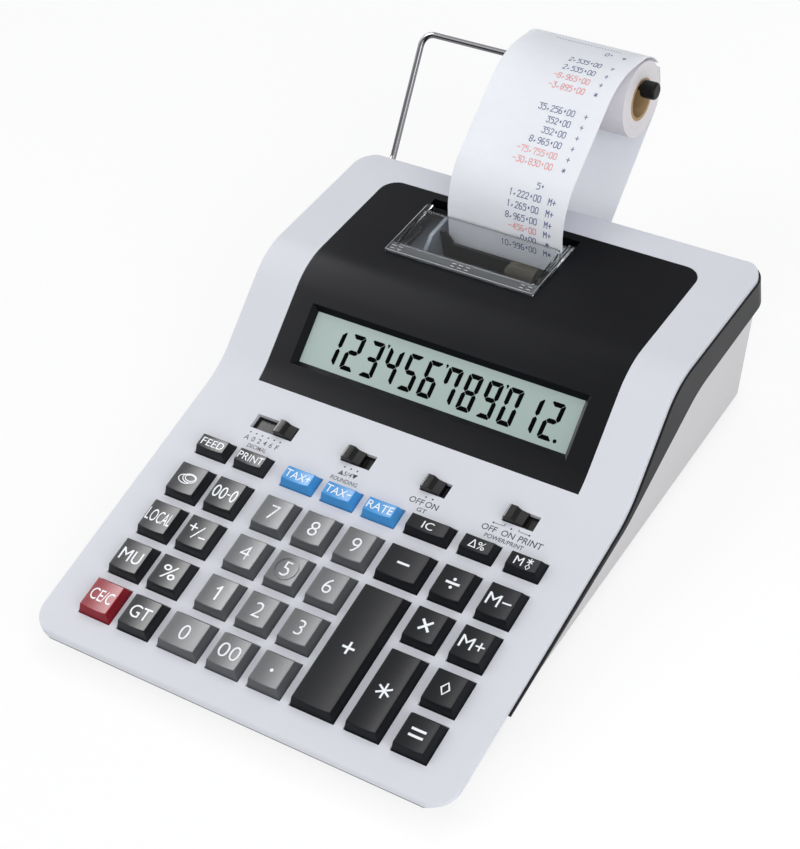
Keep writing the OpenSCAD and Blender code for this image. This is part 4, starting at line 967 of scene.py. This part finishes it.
# %% Painted glints on the grip marks and rim
GRIP_UP, GRIP_THICK, GRIP_STEP, GRIP_END = 1.45, 0.12 * MM, 3.4, 3
EDGE_IN, EDGE_UP, ARM, EDGE_WIDTH = 0.25, 1.24 * MM, 34, 0.3
GRIP_BAR = [(-1.0, -0.15), (1.0, -0.15), (1.0, 0.1), (0.8, 0.15), (-0.8, 0.15), (-1.0, 0.1)]
# Painted highlight: a pale grey for the glints on the grip marks and along the rim.
glint = moulded("grip_glint", (190, 192, 195), 0.1, (0.25, 0.4), grain=(1500, 0.00003, 0.3))
middle, inner = (left + right) / 2, GRIP_END + GRIP_STEP
columns = (left + GRIP_END, left + inner, middle - GRIP_STEP, middle, middle + GRIP_STEP, right - inner,
           right - GRIP_END)
grips = [((x, v, GRIP_UP), 0.0) for x in columns for v in (1.6, 3.4)]
on_points("grip_glints", grips, GRIP_BAR, GRIP_THICK, 0.0, glint, on_flange, "cutter")
near, far = left + EDGE_IN, right - EDGE_IN
rim_glint_line = stroke([(near, ARM), (near, EDGE_IN), (far, EDGE_IN), (far, ARM)], EDGE_WIDTH)
inked("edge_glint", rim_glint_line, on_flange, level(EDGE_UP), "cutter", glint, strip=WIDE_STRIP)
print("grip marks", len(grips))

# %% [markdown]
# ## The print mask
# Below the paper guide a thin black mask with a toothed lower edge keeps the paper off the moving print head.
# It hangs from the guide between the carriage and the platen, so it is placed from the platen's axis.

# %% Print mask
MASK_IN, MASK_TOP, MASK_FOOT, MASK_OVER, MASK_THICK = 6.4, 3.3, -2.4, 3.0, 0.4 * MM
TOOTH, TOOTH_PITCH, UNCUT = 1.1, 2.4, 100 * MM
low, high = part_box("platen_roller")
platen_y, platen_z = (low.y + high.y) / 2 / MM, (low.z + high.z) / 2 / MM
low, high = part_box("paper_strip")
from_x, to_x = low.x / MM - MASK_OVER, high.x / MM + MASK_OVER
count = round((to_x - from_x) / TOOTH_PITCH)
edge = [(from_x + (to_x - from_x) * (k + f) / count, MASK_FOOT + up) for k in range(count)
        for f, up in ((0.0, TOOTH), (0.25, 0.0), (0.65, 0.0), (0.9, TOOTH))]
shape = join([sheet([a, b, (b[0], MASK_TOP), (a[0], MASK_TOP)]) for a, b in zip(edge, edge[1:])])
bmesh.ops.remove_doubles(shape, verts=shape.verts, dist=1e-6)
hang_at = Matrix.Translation((0, (platen_y - MASK_IN) * MM, platen_z * MM))
hang = hang_at @ Matrix.Rotation(math.pi / 2, 4, "X")
mask = inked("print_mask", shape, hang, level(0.0), "calculator", finish["chassis"], MASK_THICK, UNCUT)
print("mask with", count, "teeth")

# %% [markdown]
# ## The printed list
# The strip leaves the platen, bends over the roll and falls behind it. Its print is thin pen strokes in dark
# blue, with negative sums in red. Each character is a few strokes on a small grid; each stroke becomes a thin
# closed plate that is carried along the strip's own side view, so the list bends with the paper. That side
# view is drawn again here in millimetres, from the platen's and the roll's axes: straight runs, with an arc
# at each corner between them.

# %% Straight runs and corners
def ray(degrees):
    return Vector((math.cos(math.radians(degrees)), math.sin(math.radians(degrees))))


def cross(a, b):
    return a.x * b.y - a.y * b.x


def meet(p, d, q, e):
    return p + d * (cross(q - p, e) / cross(d, e))


def corner(a, b, c, r, n=8):
    u, w = (a - b).normalized(), (c - b).normalized()
    half = math.acos(u.dot(w)) / 2
    mid = b + (u + w).normalized() * (r / math.sin(half))
    s, e = b + u * (r / math.tan(half)) - mid, b + w * (r / math.tan(half)) - mid
    first, swing = math.atan2(s.y, s.x), math.atan2(cross(s, e), s.dot(e))
    angles = [first + swing * i / n for i in range(n + 1)]
    return [mid + r * Vector((math.cos(angle), math.sin(angle))) for angle in angles]


print("helpers for the strip's side view")

# %% Path of the strip
axis, ROLL_R = Vector((roll_y / MM, roll_z / MM)), roll_r / MM
WRAP_R, WRAP_TURN, RISE, BEND, HALF_PAPER = 5.5, 45 + 3.2, 83.6, 32, 0.15
CROWN_OUT, CROWN_UP, CROWN_RISE, CROWN = 0.8, 5, 32, 34
WEB_GAP, SLACK, WRAP_END, TAIL_RUN = 0.5, 1.0, 32, 1.5
DRAPE_R = ROLL_R + WEB_GAP + SLACK
start = Vector((platen_y, platen_z - WRAP_R))
foot = Vector((platen_y - WRAP_R * math.tan(math.radians(WRAP_TURN)), platen_z - WRAP_R))
crown = axis + Vector((-ROLL_R - CROWN_OUT, ROLL_R + CROWN_UP))
bend_at = meet(foot, ray(RISE), crown, ray(CROWN_RISE))
reach = crown - axis
touch = math.degrees(math.atan2(reach.y, reach.x) - math.acos(DRAPE_R / reach.length))
crest = axis + DRAPE_R / math.cos(math.radians((touch - WRAP_END) / 2)) * ray((touch + WRAP_END) / 2)
end = axis + DRAPE_R * ray(WRAP_END) + TAIL_RUN * ray(WRAP_END - 90)
knots = [start, foot, bend_at, crown, crest, end]
path = [start]
for i, r in ((1, WRAP_R), (2, BEND), (3, CROWN), (4, DRAPE_R)):
    path += corner(knots[i - 1], knots[i], knots[i + 1], r)
path.append(end)
steps = [(path[min(i + 1, len(path) - 1)] - path[max(i - 1, 0)]).normalized() for i in range(len(path))]
face = [p + HALF_PAPER * Vector((-d.y, d.x)) for p, d in zip(path, steps)]
run = [0.0]
for a, b in zip(face, face[1:]):
    run.append(run[-1] + (b - a).length)
print("printed face of", round(run[-1]), "mm")


# %% Places on the strip
def run_at(height):
    return next(run[i] + (b - a).length * (height - a.y) / (b.y - a.y)
                for i, (a, b) in enumerate(zip(face, face[1:])) if a.y <= height <= b.y)


def on_strip(x, s, h):
    i = max(k for k in range(len(run) - 1) if run[k] <= s)
    a, b = face[i], face[i + 1]
    d = (b - a).normalized()
    p = a + d * (s - run[i]) + Vector((-d.y, d.x)) * h
    return Vector((x, p.x, p.y)) * MM


print("strip reaches", [round(v / MM, 1) for v in on_strip(0, run[-1], 0)])

# %% Pen strokes
pen = {
    "0": ["01 05 16 36 45 41 30 10 01"], "1": ["15 26 20"], "2": ["05 16 36 45 44 00 40"],
    "3": ["06 46 24 34 43 41 30 10 01"], "4": ["30 36 02 42"], "5": ["46 06 04 34 43 41 30 00"],
    "6": ["36 16 04 01 10 30 41 42 33 03"], "7": ["05 06 46 20"],
    "8": ["13 04 05 16 36 45 44 33 13 02 01 10 30 41 42 33"], "9": ["43 13 04 05 16 36 45 42 30 10"],
    "-": ["03 43"], "+": ["21 25", "03 43"], "*": ["21 25", "02 44", "04 42"], ".": ["23 24"], ",": ["22 11"],
    "M": ["00 06 23 46 40"], " ": []}
CHAR_W, CHAR_H, ADVANCE, PEN, STEP, INK_HALF = 1.35, 2.7, 1.97, 0.32, 0.5, 0.03
heavy = {".": 0.62, ",": 0.5}


def typed(text, right, base):
    out = []
    for k, sign in enumerate(reversed(text)):
        x0 = right - CHAR_W - k * ADVANCE
        for trace in pen[sign]:
            pts = [(x0 + int(p[0]) / 4 * CHAR_W, base + int(p[1]) / 6 * CHAR_H) for p in trace.split()]
            out += [(a, b, heavy.get(sign, PEN)) for a, b in zip(pts, pts[1:])]
    return out


def plate(bm, corners):
    top = [bm.verts.new(on_strip(p.x, p.y, INK_HALF)) for p in corners]
    low = [bm.verts.new(on_strip(p.x, p.y, -INK_HALF)) for p in corners]
    faces = [bm.faces.new(top), bm.faces.new(low[::-1])]
    for i in range(4):
        faces.append(bm.faces.new((top[i], low[i], low[(i + 1) % 4], top[(i + 1) % 4])))
    bmesh.ops.recalc_face_normals(bm, faces=faces)


def print_lines(name, lines, ink):
    bm = bmesh.new()
    for a, b, width in lines:
        a, b = Vector(a), Vector(b)
        d = (b - a).normalized() * width / 2
        n = Vector((-d.y, d.x))
        a, b = a - d, b + d
        count = max(1, math.ceil(abs(b.y - a.y) / STEP))
        for k in range(count):
            p, q = a.lerp(b, k / count), a.lerp(b, (k + 1) / count)
            plate(bm, [p + n, p - n, q - n, q + n])
    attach(solid_from(name, bm, None, ink), "calculator")


print("pen shapes", len(pen))

# %% The list
FIRST_Z, SUM_X, SIGN_X, PAIR_X = 67.5, 6.0, 12.3, 13.2
DASHES, DASH_X, DASH_PITCH, DASH_LONG, DASH_UP = 23, -24, 1.4, 0.4, 101.3
blue_print = moulded("blue_print", (44, 54, 128), 0.1, (0.6, 0.7), grain=INK_GRAIN)
red_print = moulded("red_print", (232, 138, 140), 0.06, (0.6, 0.7), grain=INK_GRAIN)
listing = [("0.", "*", 95.4), ("2,535.00", "+", 85), ("2,535.00", "+", 79.4), ("-8,965.00", "+", 74.3),
           ("-3,895.00", "*", 69.2), ("35,256.00", "+", 58.6), ("352.00", "+", 53.6), ("352.00", "+", 48.6),
           ("8,965.00", "+", 43.6), ("-75,755.00", "+", 38.6), ("-30,830.00", "*", 33.6), ("5.", " ", 24.4),
           ("1,222.00", "M+", 19.2), ("1,265.00", "M+", 14.2), ("8,965.00", "M+", 9.2),
           ("-456.00", "M+", 4.6), ("0.00", "*", 0.0), ("10,996.00", "M*", -5.2)]
base = run_at(FIRST_Z)
dark, light = [], []
for text, sign, s in listing:
    (light if text[0] == "-" else dark).extend(typed(text, SUM_X, base + s))
    if sign.strip():
        dark.extend(typed(sign, SIGN_X if len(sign) == 1 else PAIR_X, base + s))
for k in range(DASHES):
    x = DASH_X + DASH_PITCH * k
    dark.append(((x, base + DASH_UP), (x + DASH_LONG, base + DASH_UP), PEN))
print_lines("list_dark", dark, blue_print)
print_lines("list_red", light, red_print)
print("printed strokes", len(dark) + len(light))

# %% [markdown]
# ## Measure and finish
# Nothing added may make the calculator bigger than its solids. Both boxes are gathered in one table, and
# the box of everything shown is printed.

# %% Sizes and finish
shown_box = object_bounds()
boxes = {"cad": [list(map(float, c)) for c in cad_box], "visual": [list(map(float, c)) for c in shown_box]}
print("visual box", [[round(float(v), 4) for v in c] for c in shown_box])
